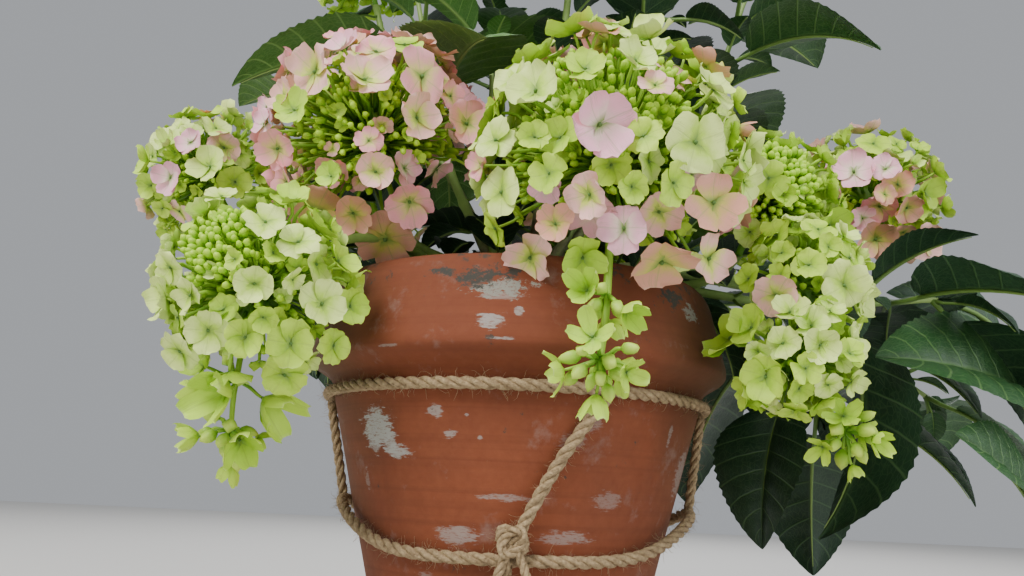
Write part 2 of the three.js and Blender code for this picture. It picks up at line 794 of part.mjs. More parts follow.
function flowerHeadGeometry(head, owner) {
  const { tip, axis } = headCanes[owner];
  const start = tip.clone().addScaledVector(axis, clearance);
  const stops = [start, ...head.balls.map((ball) => vector(ball.at))];
  const path = stops.length > 2 ? new THREE.CatmullRomCurve3(stops) : new THREE.LineCurve3(...stops);
  const steps = stops.length > 2 ? 2 * stops.length : 1;
  const pieces = [taperedLimb(path, rachis.baseRadius, rachis.tipRadius, steps, rachis.sides)];
  head.balls.forEach((ball, index) => {
    const seed = seeds.owner * (owner + 1) + seeds.ball * index;
    const others = head.balls.filter((other) => other !== ball);
    const middle = new THREE.OctahedronGeometry(coreRadius(ball), ball.buds ? 0 : 1);
    pieces.push(middle.translate(...ball.at));
    pieces.push(...ballFlorets(ball, owner, seed, others, Boolean(head.pointed)));
    pieces.push(...ballBuds(ball, owner, seed + seeds.buds));
  });
  return geometryOf(joined(pieces.map(solidOf)));
}

// Leafy shoots

// A stalked leaf as rings: its blade runs outward from the stalk's end, folded up beside the midrib
// and bent down along its length
function leafRings(length, bend, node, frame) {
  const base = node.clone().addScaledVector(frame.across, leaf.petiole);
  const place = (share, side, lift) => {
    const angle = bend * share;
    const rise = Math.abs(side) * leaf.fold + lift;
    const out = (length * Math.sin(angle)) / bend + rise * Math.sin(angle);
    const up = (-length * (1 - Math.cos(angle))) / bend + rise * Math.cos(angle);
    return pointIn(frame, base, out, side, up);
  };
  const half = leaf.thickness / 2;
  const rings = [[node], ringAbout(base, frame.along, frame.facing, leaf.petioleRadius, leaf.petioleSides)];
  for (const share of leaf.stations) {
    const outline = Math.sin(Math.PI * share ** leaf.baseShift) ** leaf.roundness;
    const width = length * leaf.halfWidth * outline;
    const edges = [place(share, width, 0), place(share, -width, 0)];
    rings.push([edges[0], place(share, 0, half), edges[1], place(share, 0, -half)]);
  }
  rings.push([place(1, 0, 0)]);
  return rings;
}

// Points spread over a leaf's blade, close enough that little passes between them
function leafSamples(rings) {
  const edges = rings.slice(2).map((ring) => (ring.length > 1 ? ring : [ring[0], ring[0], ring[0]]));
  const samples = [];
  for (let index = 1; index < edges.length; index += 1) {
    for (let step = 0; step < leafSample.steps; step += 1) {
      const share = step / leafSample.steps;
      const [left, middle, right] = [0, 1, 2].map((corner) => (
        edges[index - 1][corner].clone().lerp(edges[index][corner], share)));
      samples.push(middle);
      for (const across of leafSample.across) {
        samples.push(middle.clone().lerp(left, across), middle.clone().lerp(right, across));
      }
    }
  }
  samples.push(edges[edges.length - 1][0]);
  const [root, neck] = [rings[0][0], rings[1][0]];
  for (const share of leafSample.petiole) {
    samples.push(root.clone().lerp(neck, share));
  }
  return samples;
}

// One leaf at a stem's node, tried smaller and turned a little more until it fits
function leafAt(node, axis, turn, rise, length, owner, seed) {
  const random = randomFrom(seed);
  for (let attempt = 0; attempt < leafTry.most; attempt += 1) {
    const scale = 1 - leafTry.shrink * attempt;
    const swing = (random() - 0.5) * (leafTry.swing + leafTry.swingMore * attempt);
    const pitch = rise + (random() - 0.5) * (leafTry.pitch + leafTry.pitchMore * attempt);
    const frame = facingFrame(axis, turn + swing);
    const outward = frame.across.clone().multiplyScalar(Math.cos(pitch));
    outward.addScaledVector(axis, Math.sin(pitch));
    const side = new THREE.Vector3().crossVectors(vector([0, 0, 1]), outward).normalize();
    const normal = new THREE.Vector3().crossVectors(outward, side);
    const blade = length * scale * (leaf.shortest + leaf.lengthRange * random());
    const bend = leaf.bend * (leaf.leastBend + leaf.bendRange * random());
    const rings = leafRings(blade, bend, node, { across: outward, along: side, facing: normal });
    const samples = leafSamples(rings);
    if (leafFits(samples, owner)) {
      leafPoints.push(...samples);
      return [skinOver(rings)];
    }
  }
  return [];
}

function shootGeometry(shoot, owner) {
  const axis = vector(shoot.axis).normalize();
  const [start, end] = stemPaths[owner];
  const pieces = [straightLimb(start, end, shootStem.baseRadius, shootStem.tipRadius, shootStem.sides)];
  for (let pair = 0; pair < shoot.pairs; pair += 1) {
    const node = start.clone().addScaledVector(axis, shootStem.gap * (pair + shootStem.firstNode));
    const rise = shootStem.leastRise + (shootStem.moreRise * pair) / shoot.pairs;
    const length = shoot.blade * (1 - (shootStem.taper * pair) / shoot.pairs);
    for (const half of [0, 1]) {
      const turn = shoot.turn * degree + (pair * Math.PI) / 2 + half * Math.PI;
      const seed = seeds.leaves + seeds.owner * owner + seeds.pair * pair + half;
      pieces.push(...leafAt(node, axis, turn, rise, length, owner, seed));
    }
  }
  return geometryOf(joined(pieces.map(solidOf)));
}

// Assembly

const shrub = new THREE.Group();

function addPiece(name, geometry, material) {
  const piece = new THREE.Mesh(geometry, material);
  piece.name = name;
  shrub.add(piece);
}

addPiece('pot', potGeometry(), terracotta());
addPiece('soil', soilGeometry(), earth());
addPiece('rope.upper-ring', upperRingGeometry(), jute());
addPiece('rope.lower-ring', lowerRingGeometry(), jute());
addPiece('rope.left-drop', dropGeometry(180 * degree), jute());
addPiece('rope.right-drop', dropGeometry(0), jute());
addPiece('rope.diagonal', diagonalGeometry(), jute());
addPiece('rope.knot', knotGeometry(), jute());
addPiece('base-stem', stoolGeometry(), bark());

for (const { name, curve } of canes) {
  const limb = taperedLimb(curve, cane.baseRadius, cane.tipRadius, cane.steps, cane.sides);
  addPiece(`cane.${name}`, limb, greenStem());
}
heads.forEach((head, owner) => {
  addPiece(`flowers.${head.name}`, flowerHeadGeometry(head, owner), blossom());
});
shoots.forEach((shoot, owner) => {
  addPiece(`leaves.${shoot.name}`, shootGeometry(shoot, owner), foliage());
});

export default shrub;
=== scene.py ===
import math
from random import Random
import bpy
import numpy as np
from mathutils import Matrix, Vector, noise


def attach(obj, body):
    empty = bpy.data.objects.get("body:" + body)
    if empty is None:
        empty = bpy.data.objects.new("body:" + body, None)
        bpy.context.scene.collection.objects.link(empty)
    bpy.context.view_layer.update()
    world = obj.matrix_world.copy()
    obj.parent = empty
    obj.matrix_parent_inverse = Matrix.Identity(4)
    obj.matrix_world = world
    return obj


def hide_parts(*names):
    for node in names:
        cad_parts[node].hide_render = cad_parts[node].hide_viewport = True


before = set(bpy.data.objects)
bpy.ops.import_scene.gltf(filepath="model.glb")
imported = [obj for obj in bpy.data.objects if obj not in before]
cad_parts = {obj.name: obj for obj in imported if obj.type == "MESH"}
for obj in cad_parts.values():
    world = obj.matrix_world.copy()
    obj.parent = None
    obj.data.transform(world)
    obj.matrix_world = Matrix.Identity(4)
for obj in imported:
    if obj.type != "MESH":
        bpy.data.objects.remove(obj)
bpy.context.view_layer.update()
degree = math.pi / 180
fullTurn = 2 * math.pi
goldenAngle = math.pi * (3 - math.sqrt(5))
mm = 0.001
clearance = 0.3 * mm
rootBody = "root"


# Node helpers

def addNode(tree, kind, inputs=None, **settings):  # a node with its settings, values and links
    node = tree.nodes.new(kind)
    for name, value in settings.items():
        setattr(node, name, value)
    for name, value in (inputs or {}).items():
        if isinstance(value, bpy.types.NodeSocket):
            tree.links.new(value, node.inputs[name])
        else:
            node.inputs[name].default_value = value
    return node


def mathOf(tree, operation, *values, **settings):
    numbered = dict(enumerate(values))
    return addNode(tree, "ShaderNodeMath", numbered, operation=operation, **settings).outputs[0]


def vectorOf(tree, operation, *values):
    return addNode(tree, "ShaderNodeVectorMath", dict(enumerate(values)), operation=operation).outputs


def ramped(tree, value, low, high, least=0.0, most=1.0, **settings):  # a value's share from low to high
    return addNode(tree, "ShaderNodeMapRange", {
        "Value": value, "From Min": low, "From Max": high, "To Min": least, "To Max": most},
        **settings).outputs["Result"]


def cloudOf(tree, place, scale, detail, roughness=0.5, distortion=0.0):
    return addNode(tree, "ShaderNodeTexNoise", {
        "Vector": place, "Scale": scale, "Detail": detail, "Roughness": roughness,
        "Distortion": distortion}).outputs["Fac"]


def stretched(tree, place, scale):
    return addNode(tree, "ShaderNodeMapping", {"Vector": place, "Scale": scale}).outputs["Vector"]


def objectPlace(tree):
    return addNode(tree, "ShaderNodeTexCoord").outputs["Object"]


def ownMap(tree, name="OFBake"):  # a piece's own map, its way across and its way along
    place = addNode(tree, "ShaderNodeUVMap", uv_map=name).outputs["UV"]
    split = addNode(tree, "ShaderNodeSeparateXYZ", {0: place}).outputs
    return place, split["X"], split["Y"]


def mixColour(tree, factor, first, second):
    return addNode(tree, "ShaderNodeMix", {0: factor, 6: first, 7: second}, data_type="RGBA").outputs[2]


def layered(tree, colour, layers):  # paints over a colour, each through its own mask
    for mask, paint in layers:
        colour = mixColour(tree, mask, colour, paint)
    return colour


def withGroup(tree, group, inputs):
    return addNode(tree, "ShaderNodeGroup", inputs, node_tree=group).outputs


def newTree(name, kind, inputs, outputs):  # inputs: sort of socket and first value for each name
    tree = bpy.data.node_groups.new(name, kind)
    for socket, (sort, value) in inputs.items():
        made = tree.interface.new_socket(name=socket, in_out="INPUT", socket_type="NodeSocket" + sort)
        if value is not None:
            made.default_value = value
    for socket, sort in outputs.items():
        tree.interface.new_socket(name=socket, in_out="OUTPUT", socket_type="NodeSocket" + sort)
    return tree, tree.nodes.new("NodeGroupInput").outputs, tree.nodes.new("NodeGroupOutput").inputs


def newMaterial(name, roughness, specular=0.5):
    material = bpy.data.materials.new(name)
    material.use_nodes = True
    shader = material.node_tree.nodes["Principled BSDF"]
    shader.inputs["Roughness"].default_value = roughness
    shader.inputs["Specular IOR Level"].default_value = specular
    return material, material.node_tree, shader


def addLook(tree, shader, colour, height=None, strength=0.0, distance=0.0):  # colour and bump
    tree.links.new(colour, shader.inputs["Base Color"])
    if height is not None:
        bump = addNode(tree, "ShaderNodeBump", {"Height": height, "Strength": strength, "Distance": distance})
        tree.links.new(bump.outputs["Normal"], shader.inputs["Normal"])


# Stage, light and camera

stage = {
    "floorSize": 6.0,
    "floorColour": (0.62, 0.61, 0.59, 1),
    "worldColour": (0.52, 0.54, 0.57, 1),
    "worldStrength": 0.75,
    "lights": [  # name, place, size, power and colour
        ("keyLight", (-1.1, -1.5, 2.1), 1.5, 90, (1.0, 0.98, 0.94)),
        ("fillLight", (1.7, -1.2, 1.1), 1.8, 27, (0.95, 0.97, 1.0)),
        ("backLight", (0.4, 1.7, 1.9), 1.4, 30, (1.0, 1.0, 1.0)),
    ],
    "aim": (0.0, -0.05, 0.28),
}
photoCamera = {
    "at": (-0.007, -0.661, 0.122),
    "pitch": 12.8 * degree,  # upwards
    "roll": 2.67 * degree,
    "focal": 900,  # pixels, in a picture 1024 wide
    "pictureWidth": 1024,
    "sensor": 36,
}


def addObject(name, data):
    obj = bpy.data.objects.new(name, data)
    bpy.context.scene.collection.objects.link(obj)
    return obj


def makeStage():
    half = stage["floorSize"] / 2
    mesh = bpy.data.meshes.new("floor")
    corners = [(-half, -half, 0), (half, -half, 0), (half, half, 0), (-half, half, 0)]
    mesh.from_pydata(corners, [], [(0, 1, 2, 3)])
    material, _, shader = newMaterial("floorPaint", 0.9)
    shader.inputs["Base Color"].default_value = stage["floorColour"]
    mesh.materials.append(material)
    addObject("floor", mesh)
    world = bpy.data.worlds.new("studio")
    world.use_nodes = True
    sky = world.node_tree.nodes["Background"].inputs
    sky["Color"].default_value = stage["worldColour"]
    sky["Strength"].default_value = stage["worldStrength"]
    bpy.context.scene.world = world
    for name, at, size, power, colour in stage["lights"]:
        light = bpy.data.lights.new(name, "AREA")
        light.size = size
        light.energy = power
        light.color = colour
        body = addObject(name, light)
        body.location = at
        body.rotation_euler = (Vector(stage["aim"]) - Vector(at)).to_track_quat("-Z", "Y").to_euler()


def makeCamera():
    pitch, roll = photoCamera["pitch"], photoCamera["roll"]
    right = Vector((1, 0, 0))
    up = Vector((0, -math.sin(pitch), math.cos(pitch)))
    ahead = Vector((0, math.cos(pitch), math.sin(pitch)))
    rolledRight = right * math.cos(roll) + up * math.sin(roll)
    rolledUp = up * math.cos(roll) - right * math.sin(roll)
    lens = bpy.data.cameras.new("photoCamera")
    lens.sensor_width = photoCamera["sensor"]
    lens.lens = photoCamera["focal"] / photoCamera["pictureWidth"] * photoCamera["sensor"]
    lens.clip_start = 0.01
    camera = addObject("photoCamera", lens)
    turn = Matrix((rolledRight, rolledUp, -ahead)).transposed()
    camera.matrix_world = Matrix.Translation(photoCamera["at"]) @ turn.to_4x4()
    bpy.context.scene.camera = camera


makeStage()
makeCamera()
print("stage, lights and camera are set")


# Mesh helpers

def emptyStore():
    return {"points": [], "faces": [], "maps": []}


def addPart(store, points, faces, maps=None):  # maps: one (u, v) for each point
    first = len(store["points"])
    store["points"].extend(points)
    store["faces"].extend([tuple(first + corner for corner in face) for face in faces])
    store["maps"].extend(maps or [(0.0, 0.0)] * len(points))


def storeOf(*part):
    store = emptyStore()
    addPart(store, *part)
    return store


def makeMesh(name, store, material, mapName="OFBake"):
    mesh = bpy.data.meshes.new(name)
    mesh.from_pydata([tuple(point) for point in store["points"]], [], store["faces"])
    layer = mesh.uv_layers.new(name=mapName)
    corners = np.empty(len(mesh.loops), dtype=np.int32)
    mesh.loops.foreach_get("vertex_index", corners)
    layer.data.foreach_set("uv", np.array(store["maps"], dtype=np.float32)[corners].ravel())
    mesh.polygons.foreach_set("use_smooth", [True] * len(mesh.polygons))
    mesh.materials.append(material)
    mesh.update()
    return mesh


def finishPiece(piece, slot, *nodes):
    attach(piece, rootBody)
    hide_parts(*nodes)
    print(piece.name, len(piece.data.polygons), "faces")


def finishStore(name, store, material, slot, *nodes, mapName="OFBake"):
    finishPiece(addObject(name, makeMesh(name, store, material, mapName)), slot, *nodes)


def ringFaces(rows, sides, first=0):  # between closed rings of points
    faces = []
    for corner in range(first, first + (rows - 1) * sides):
        following = corner + 1 if (corner - first + 1) % sides else corner + 1 - sides
        faces.append((corner, following, following + sides, corner + sides))
    return faces


def shellFaces(rows, sides):  # a pole, rings of points, and another pole
    top, last = (rows - 1) * sides + 1, rows * sides + 1
    faces = ringFaces(rows, sides, 1)
    for side in range(sides):
        following = (side + 1) % sides
        faces += [(0, 1 + following, 1 + side), (top + side, top + following, last)]
    return faces


def sheetFaces(rows, columns):
    return [(row * columns + column, (row + 1) * columns + column, (row + 1) * columns + column + 1,
             row * columns + column + 1) for row in range(rows - 1) for column in range(columns - 1)]


def roundAbout(radius, angle, height=0.0):
    return Vector((radius * math.cos(angle), radius * math.sin(angle), height))


def sweep(path, radii, sides):  # a closed tube along points
    points, maps = [], []
    frameSide = None
    last = len(path) - 1
    for index, place in enumerate(path):
        ahead = (path[min(index + 1, last)] - path[max(index - 1, 0)]).normalized()
        if frameSide is None:
            frameSide = ahead.orthogonal().normalized()
        frameSide = (frameSide - ahead * frameSide.dot(ahead)).normalized()
        other = ahead.cross(frameSide)
        for side in range(sides):
            angle = fullTurn * side / sides
            points.append(place + (frameSide * math.cos(angle) + other * math.sin(angle)) * radii[index])
            maps.append((side / sides, index / last))
    ends = [tuple(reversed(range(sides))), tuple(range(last * sides, (last + 1) * sides))]
    return points, ringFaces(last + 1, sides) + ends, maps


def turnedShell(profile, steps, relief=None):  # a closed solid of revolution; profile runs from axis to axis
    points = [Vector((0, 0, profile[0][1]))]
    for radius, height in profile[1:-1]:
        for step in range(steps):
            angle = fullTurn * step / steps
            points.append(roundAbout(radius + (relief(angle, height) if relief else 0), angle, height))
    points.append(Vector((0, 0, profile[-1][1])))
    return points, shellFaces(len(profile) - 2, steps)


def softened(profile, cuts):  # rounds the corners of an outline, by cutting each a little further back
    for cut in cuts:
        rounded = [profile[0]]
        for before, here, after in zip(profile, profile[1:], profile[2:]):
            for gap in (Vector(before) - Vector(here), Vector(after) - Vector(here)):
                rounded.append(tuple(Vector(here) + gap.normalized() * min(cut, gap.length * 0.3)))
        profile = rounded + [profile[-1]]
    return profile


def divided(profile, longest):  # the same outline with its long runs split
    dense = [profile[0]]
    for start, end in zip(profile, profile[1:]):
        gap = Vector(end) - Vector(start)
        pieces = max(1, math.ceil(gap.length / longest))
        dense += [tuple(Vector(start) + gap * piece / pieces) for piece in range(1, pieces + 1)]
    return dense


# Trees that place and wind shapes

def finishTree(tree, geometry, given, result):
    real = addNode(tree, "GeometryNodeRealizeInstances", {"Geometry": geometry})
    painted = addNode(tree, "GeometryNodeSetMaterial", {
        "Geometry": real.outputs["Geometry"], "Material": given["Material"]})
    tree.links.new(painted.outputs["Geometry"], result["Geometry"])
    return tree


def newPieceTree(name, inputs):
    sockets = {"Geometry": ("Geometry", None), **inputs, "Material": ("Material", None)}
    return newTree(name, "GeometryNodeTree", sockets, {"Geometry": "Geometry"})


def makePlaceTree():  # one of a collection's shapes on each point, by the point's own turn, size and shape
    tree, given, result = newPieceTree("Place shapes", {"Shapes": ("Collection", None)})
    shapes = addNode(tree, "GeometryNodeCollectionInfo", {
        "Collection": given["Shapes"], "Separate Children": True, "Reset Children": True})
    turn, size, shape = [
        addNode(tree, "GeometryNodeInputNamedAttribute", {"Name": name}, data_type=sort).outputs["Attribute"]
        for name, sort in (("turn", "QUATERNION"), ("size", "FLOAT"), ("shape", "INT"))]
    placed = addNode(tree, "GeometryNodeInstanceOnPoints", {
        "Points": given["Geometry"], "Instance": shapes.outputs["Instances"], "Pick Instance": True,
        "Instance Index": shape, "Rotation": turn, "Scale": size})
    return finishTree(tree, placed.outputs["Instances"], given, result)


def makeStrandTree(strands=3):  # a laid rope: strands wound round a mesh's edges
    tree, given, result = newPieceTree("Laid rope", {
        "Points": ("Int", 200), "Turns": ("Float", 10.0), "Lay radius": ("Float", 2 * mm),
        "Strand radius": ("Float", 2 * mm)})
    curve = addNode(tree, "GeometryNodeMeshToCurve", {"Mesh": given["Geometry"]})
    even = addNode(tree, "GeometryNodeResampleCurve", {
        "Curve": curve.outputs["Curve"], "Count": given["Points"]})
    along = addNode(tree, "GeometryNodeSplineParameter").outputs["Factor"]
    normal = addNode(tree, "GeometryNodeInputNormal").outputs["Normal"]
    tangent = addNode(tree, "GeometryNodeInputTangent").outputs["Tangent"]
    ring = addNode(tree, "GeometryNodeCurvePrimitiveCircle", {
        "Resolution": 7, "Radius": given["Strand radius"]})
    angle = mathOf(tree, "MULTIPLY", mathOf(tree, "MULTIPLY", along, given["Turns"]), fullTurn)
    together = tree.nodes.new("GeometryNodeJoinGeometry")
    for strand in range(strands):
        offset = addNode(tree, "ShaderNodeVectorRotate", {
            "Vector": normal, "Axis": tangent,
            "Angle": mathOf(tree, "ADD", angle, fullTurn * strand / strands)}, rotation_type="AXIS_ANGLE")
        scaled = addNode(tree, "ShaderNodeVectorMath", {
            0: offset.outputs["Vector"], "Scale": given["Lay radius"]}, operation="SCALE")
        moved = addNode(tree, "GeometryNodeSetPosition", {
            "Geometry": even.outputs["Curve"], "Offset": scaled.outputs["Vector"]})
        tube = addNode(tree, "GeometryNodeCurveToMesh", {
            "Curve": moved.outputs["Geometry"], "Profile Curve": ring.outputs["Curve"], "Fill Caps": True})
        tree.links.new(tube.outputs["Mesh"], together.inputs["Geometry"])
    smooth = addNode(tree, "GeometryNodeSetShadeSmooth", {"Geometry": together.outputs["Geometry"]})
    return finishTree(tree, smooth.outputs["Geometry"], given, result)


def makeFuzzTree():  # short stray fibres standing out of a surface
    tree, given, result = newPieceTree("Stray fibres", {
        "Fibre": ("Object", None), "Density": ("Float", 1.0), "Seed": ("Int", 1)})
    spots = addNode(tree, "GeometryNodeDistributePointsOnFaces", {
        "Mesh": given["Geometry"], "Density": given["Density"], "Seed": given["Seed"]})
    fibre = addNode(tree, "GeometryNodeObjectInfo", {"Object": given["Fibre"]})
    lean = addNode(tree, "FunctionNodeRandomValue", {
        0: (-1.2, -1.2, 0.0), 1: (1.2, 1.2, fullTurn), "Seed": given["Seed"]}, data_type="FLOAT_VECTOR")
    leaned = addNode(tree, "FunctionNodeRotateRotation", {
        "Rotation": spots.outputs["Rotation"], "Rotate By": lean.outputs[0]}, rotation_space="LOCAL")
    size = addNode(tree, "FunctionNodeRandomValue", {
        2: 0.3, 3: 1.0, "Seed": given["Seed"]}, data_type="FLOAT")
    placed = addNode(tree, "GeometryNodeInstanceOnPoints", {
        "Points": spots.outputs["Points"], "Instance": fibre.outputs["Geometry"],
        "Rotation": leaned.outputs["Rotation"], "Scale": size.outputs[1]})
    return finishTree(tree, placed.outputs["Instances"], given, result)


def applyTree(name, mesh, tree, **inputs):  # the tree's result on a mesh, as a plain mesh piece
    host = addObject(name + "Host", mesh)
    modifier = host.modifiers.new(tree.name, "NODES")
    modifier.node_group = tree
    sockets = {item.name: item.identifier for item in tree.interface.items_tree if item.in_out == "INPUT"}
    for socket, value in inputs.items():
        modifier[sockets[socket.replace("_", " ")]] = value
    made = bpy.data.meshes.new_from_object(host.evaluated_get(bpy.context.evaluated_depsgraph_get()))
    made.name = name
    host.modifiers.clear()
    bpy.data.objects.remove(host)
    return addObject(name, made)


def pathMesh(name, path, closed=False):
    edges = [(step, (step + 1) % len(path)) for step in range(len(path) - (not closed))]
    mesh = bpy.data.meshes.new(name)
    mesh.from_pydata([tuple(point) for point in path], edges, [])
    return mesh


def pointMesh(name, places):  # places: (point, 3x3 turn, size, shape)
    points, turns, sizes, shapes = zip(*places)
    mesh = bpy.data.meshes.new(name)
    mesh.from_pydata([tuple(point) for point in points], [], [])
    turns = [number for turn in turns for number in turn.to_quaternion()]
    kinds = {"turn": ("QUATERNION", turns), "size": ("FLOAT", sizes), "shape": ("INT", shapes)}
    for kind, (sort, values) in kinds.items():
        mesh.attributes.new(kind, sort, "POINT").data.foreach_set("value", values)
    return mesh


def placeShapes(name, places, shapes, material, slot, *nodes):
    piece = applyTree(name, pointMesh(name + "Places", places), placeTree, Shapes=shapes, Material=material)
    finishPiece(piece, slot, *nodes)


placeTree = makePlaceTree()
strandTree = makeStrandTree()
fuzzTree = makeFuzzTree()


# Patterns that several materials use

def makeMottleGroup():  # two colours mixed by a broken noise, with its height
    tree, given, result = newTree("Mottle", "ShaderNodeTree", {
        "Vector": ("Vector", None), "Scale": ("Float", 50.0), "Contrast": ("Float", 1.0),
        "Dark": ("Color", None), "Light": ("Color", None)}, {"Colour": "Color", "Height": "Float"})
    cloud = cloudOf(tree, given["Vector"], given["Scale"], 5.0, 0.6)
    centred = mathOf(tree, "SUBTRACT", cloud, 0.5)
    spread = mathOf(tree, "MULTIPLY_ADD", centred, given["Contrast"], 0.5, use_clamp=True)
    tree.links.new(mixColour(tree, spread, given["Dark"], given["Light"]), result["Colour"])
    tree.links.new(cloud, result["Height"])
    return tree


def makeMarkGroup():  # a ragged patch at a place on the surface, 1 inside and 0 outside
    tree, given, result = newTree("Worn patch", "ShaderNodeTree", {
        "Vector": ("Vector", None), "Centre": ("Vector", None), "Spread": ("Vector", None),
        "Ragged": ("Float", 0.8), "Grain": ("Float", 90.0), "Streak": ("Float", 3.0)}, {"Mask": "Float"})
    away = vectorOf(tree, "SUBTRACT", given["Vector"], given["Centre"])[0]
    reach = vectorOf(tree, "LENGTH", vectorOf(tree, "DIVIDE", away, given["Spread"])[0])[1]
    flat = addNode(tree, "ShaderNodeCombineXYZ", {"X": 1.0, "Y": 1.0, "Z": given["Streak"]})
    streaked = vectorOf(tree, "MULTIPLY", given["Vector"], flat.outputs["Vector"])[0]
    spread = mathOf(tree, "SUBTRACT", cloudOf(tree, streaked, given["Grain"], 5.0, 0.7), 0.5)
    mask = ramped(tree, mathOf(tree, "MULTIPLY_ADD", spread, given["Ragged"], reach), 1.1, 0.78)
    worn = ramped(tree, cloudOf(tree, streaked, 310.0, 3.0, 0.6), 0.32, 0.47, 0.25)
    tree.links.new(mathOf(tree, "MULTIPLY", mask, worn), result["Mask"])
    return tree


mottleGroup = makeMottleGroup()
markGroup = makeMarkGroup()


def mottled(tree, place, scale, contrast, dark, light):
    return withGroup(tree, mottleGroup, {
        "Vector": place, "Scale": scale, "Contrast": contrast, "Dark": dark, "Light": light})


def mottledMaterial(name, finish, squeeze, pattern, bump):
    material, tree, shader = newMaterial(name, *finish)
    spots = mottled(tree, stretched(tree, objectPlace(tree), squeeze), *pattern)
    addLook(tree, shader, spots["Colour"], spots["Height"], *bump)
    return material


# Pot

potShape = {
    "steps": 160,
    "cornerCuts": (2.2 * mm, 0.9 * mm),
    "longestRun": 7 * mm,
    "wobble": 0.35 * mm,
    "profile": [  # radius and height of each corner, outside and then in
        (0, 0), (80, 0), (84, 4), (130.5, 182), (131.5, 190), (135.5, 196), (148.5, 204), (150, 209),
        (139, 255), (135, 262), (131, 265), (125, 262), (122, 250), (117, 182), (72, 12), (0, 12)],
}
potMarks = [  # limewash left on the clay: angle about +Z, height, half width, half height, strength
    (-135, 158, 14, 12, 0.95), (-127.5, 144, 10, 4, 0.85), (-130, 150, 6, 10, 0.8), (-137, 148, 7, 5, 0.6),
    (-113.1, 168, 5, 4, 0.6), (-108.9, 154.5, 4, 2.5, 0.55), (-100.2, 153, 2, 1.5, 0.5),
    (-104, 166, 1.6, 1.2, 0.5), (-69.5, 168, 8, 9, 0.32), (-74.4, 153, 8, 4, 0.28),
    (-91.8, 118.8, 17, 2.2, 0.45), (-107.8, 95.8, 13, 6, 0.5), (-73, 97, 15, 4, 0.42),
    (-38, 162, 2, 17, 0.4), (-144.1, 126, 2.5, 8, 0.3), (-121.9, 205, 7, 0.8, 0.4),
    (-95.5, 234.5, 14, 2, 0.4), (-97.4, 219.3, 7, 5, 0.7), (-90.9, 226, 2.5, 3, 0.6),
    (-94.4, 208.5, 8, 0.9, 0.6), (-60, 120, 10, 5, 0.3), (-20, 140, 12, 16, 0.4),
    (30, 150, 16, 10, 0.5), (75, 120, 20, 8, 0.5), (120, 160, 14, 12, 0.6), (160, 110, 10, 18, 0.45),
    (95, 225, 14, 5, 0.5), (-10, 228, 12, 4, 0.45), (-170, 232, 10, 5, 0.5), (-85, 40, 18, 6, 0.4),
    (-120, 60, 9, 12, 0.35), (10, 60, 12, 8, 0.45)]
lichenMarks = [  # angle, height, half width, half height, paint
    (-95.5, 240.5, 16, 6, "lichenPale"), (-100.5, 246.5, 12, 6, "lichen"), (-110.5, 250.5, 9, 3, "lichen"),
    (-92.5, 249, 5, 3.5, "lichen"), (-48, 247, 10, 5, "lichen"), (-40, 240, 8, 5, "lichenPale"),
    (18, 249, 15, 5, "lichen"), (70, 243, 12, 7, "lichen"), (82, 238, 14, 5, "lichenPale"),
    (138, 250, 16, 4.5, "lichen"), (178, 246, 10, 7, "lichenPale"), (-158, 250, 11, 4, "lichen"),
]
potPaint = {
    "clay": (0.275, 0.067, 0.024, 1),
    "clayDark": (0.150, 0.038, 0.016, 1),
    "clayPale": (0.37, 0.135, 0.066, 1),
    "limewash": (0.40, 0.395, 0.37, 1),
    "lichen": (0.050, 0.046, 0.038, 1),
    "lichenPale": (0.26, 0.25, 0.215, 1),
    # dark olive laid on the pot's left and right sides: moss, and painted shade
    "mossAndSideShade": (0.060, 0.065, 0.028, 1),
}
potMasks = {  # low and high of what a mask is made from, and its least and most
    "thrownLines": (0.5, 0.72, 0.0, 0.42),
    "bandShade": (0.19, 0.215, 0.0, 0.45),
    "dampAndSideShade": (0.112, 0.178, 0.0, 0.62),
    "film": (0.57, 0.76, 0.0, 0.26),
    "rimward": (0.214, 0.262, 0.34, 0.43),
    "crust": (0.0, 0.05, 0.0, 0.85),
}


def onWall(angle, height):  # a place on the outside of the pot, from degrees and millimetres
    corners = potShape["profile"][2:10]
    reach = np.interp(height, [z for _, z in corners], [r for r, _ in corners])
    return roundAbout(float(reach) * mm, angle * degree, height * mm)


def markMask(tree, place, angle, height, wide, tall, **look):
    return withGroup(tree, markGroup, {
        "Vector": place, "Centre": onWall(angle, height), "Spread": (wide * mm, wide * mm, tall * mm),
        **look})["Mask"]


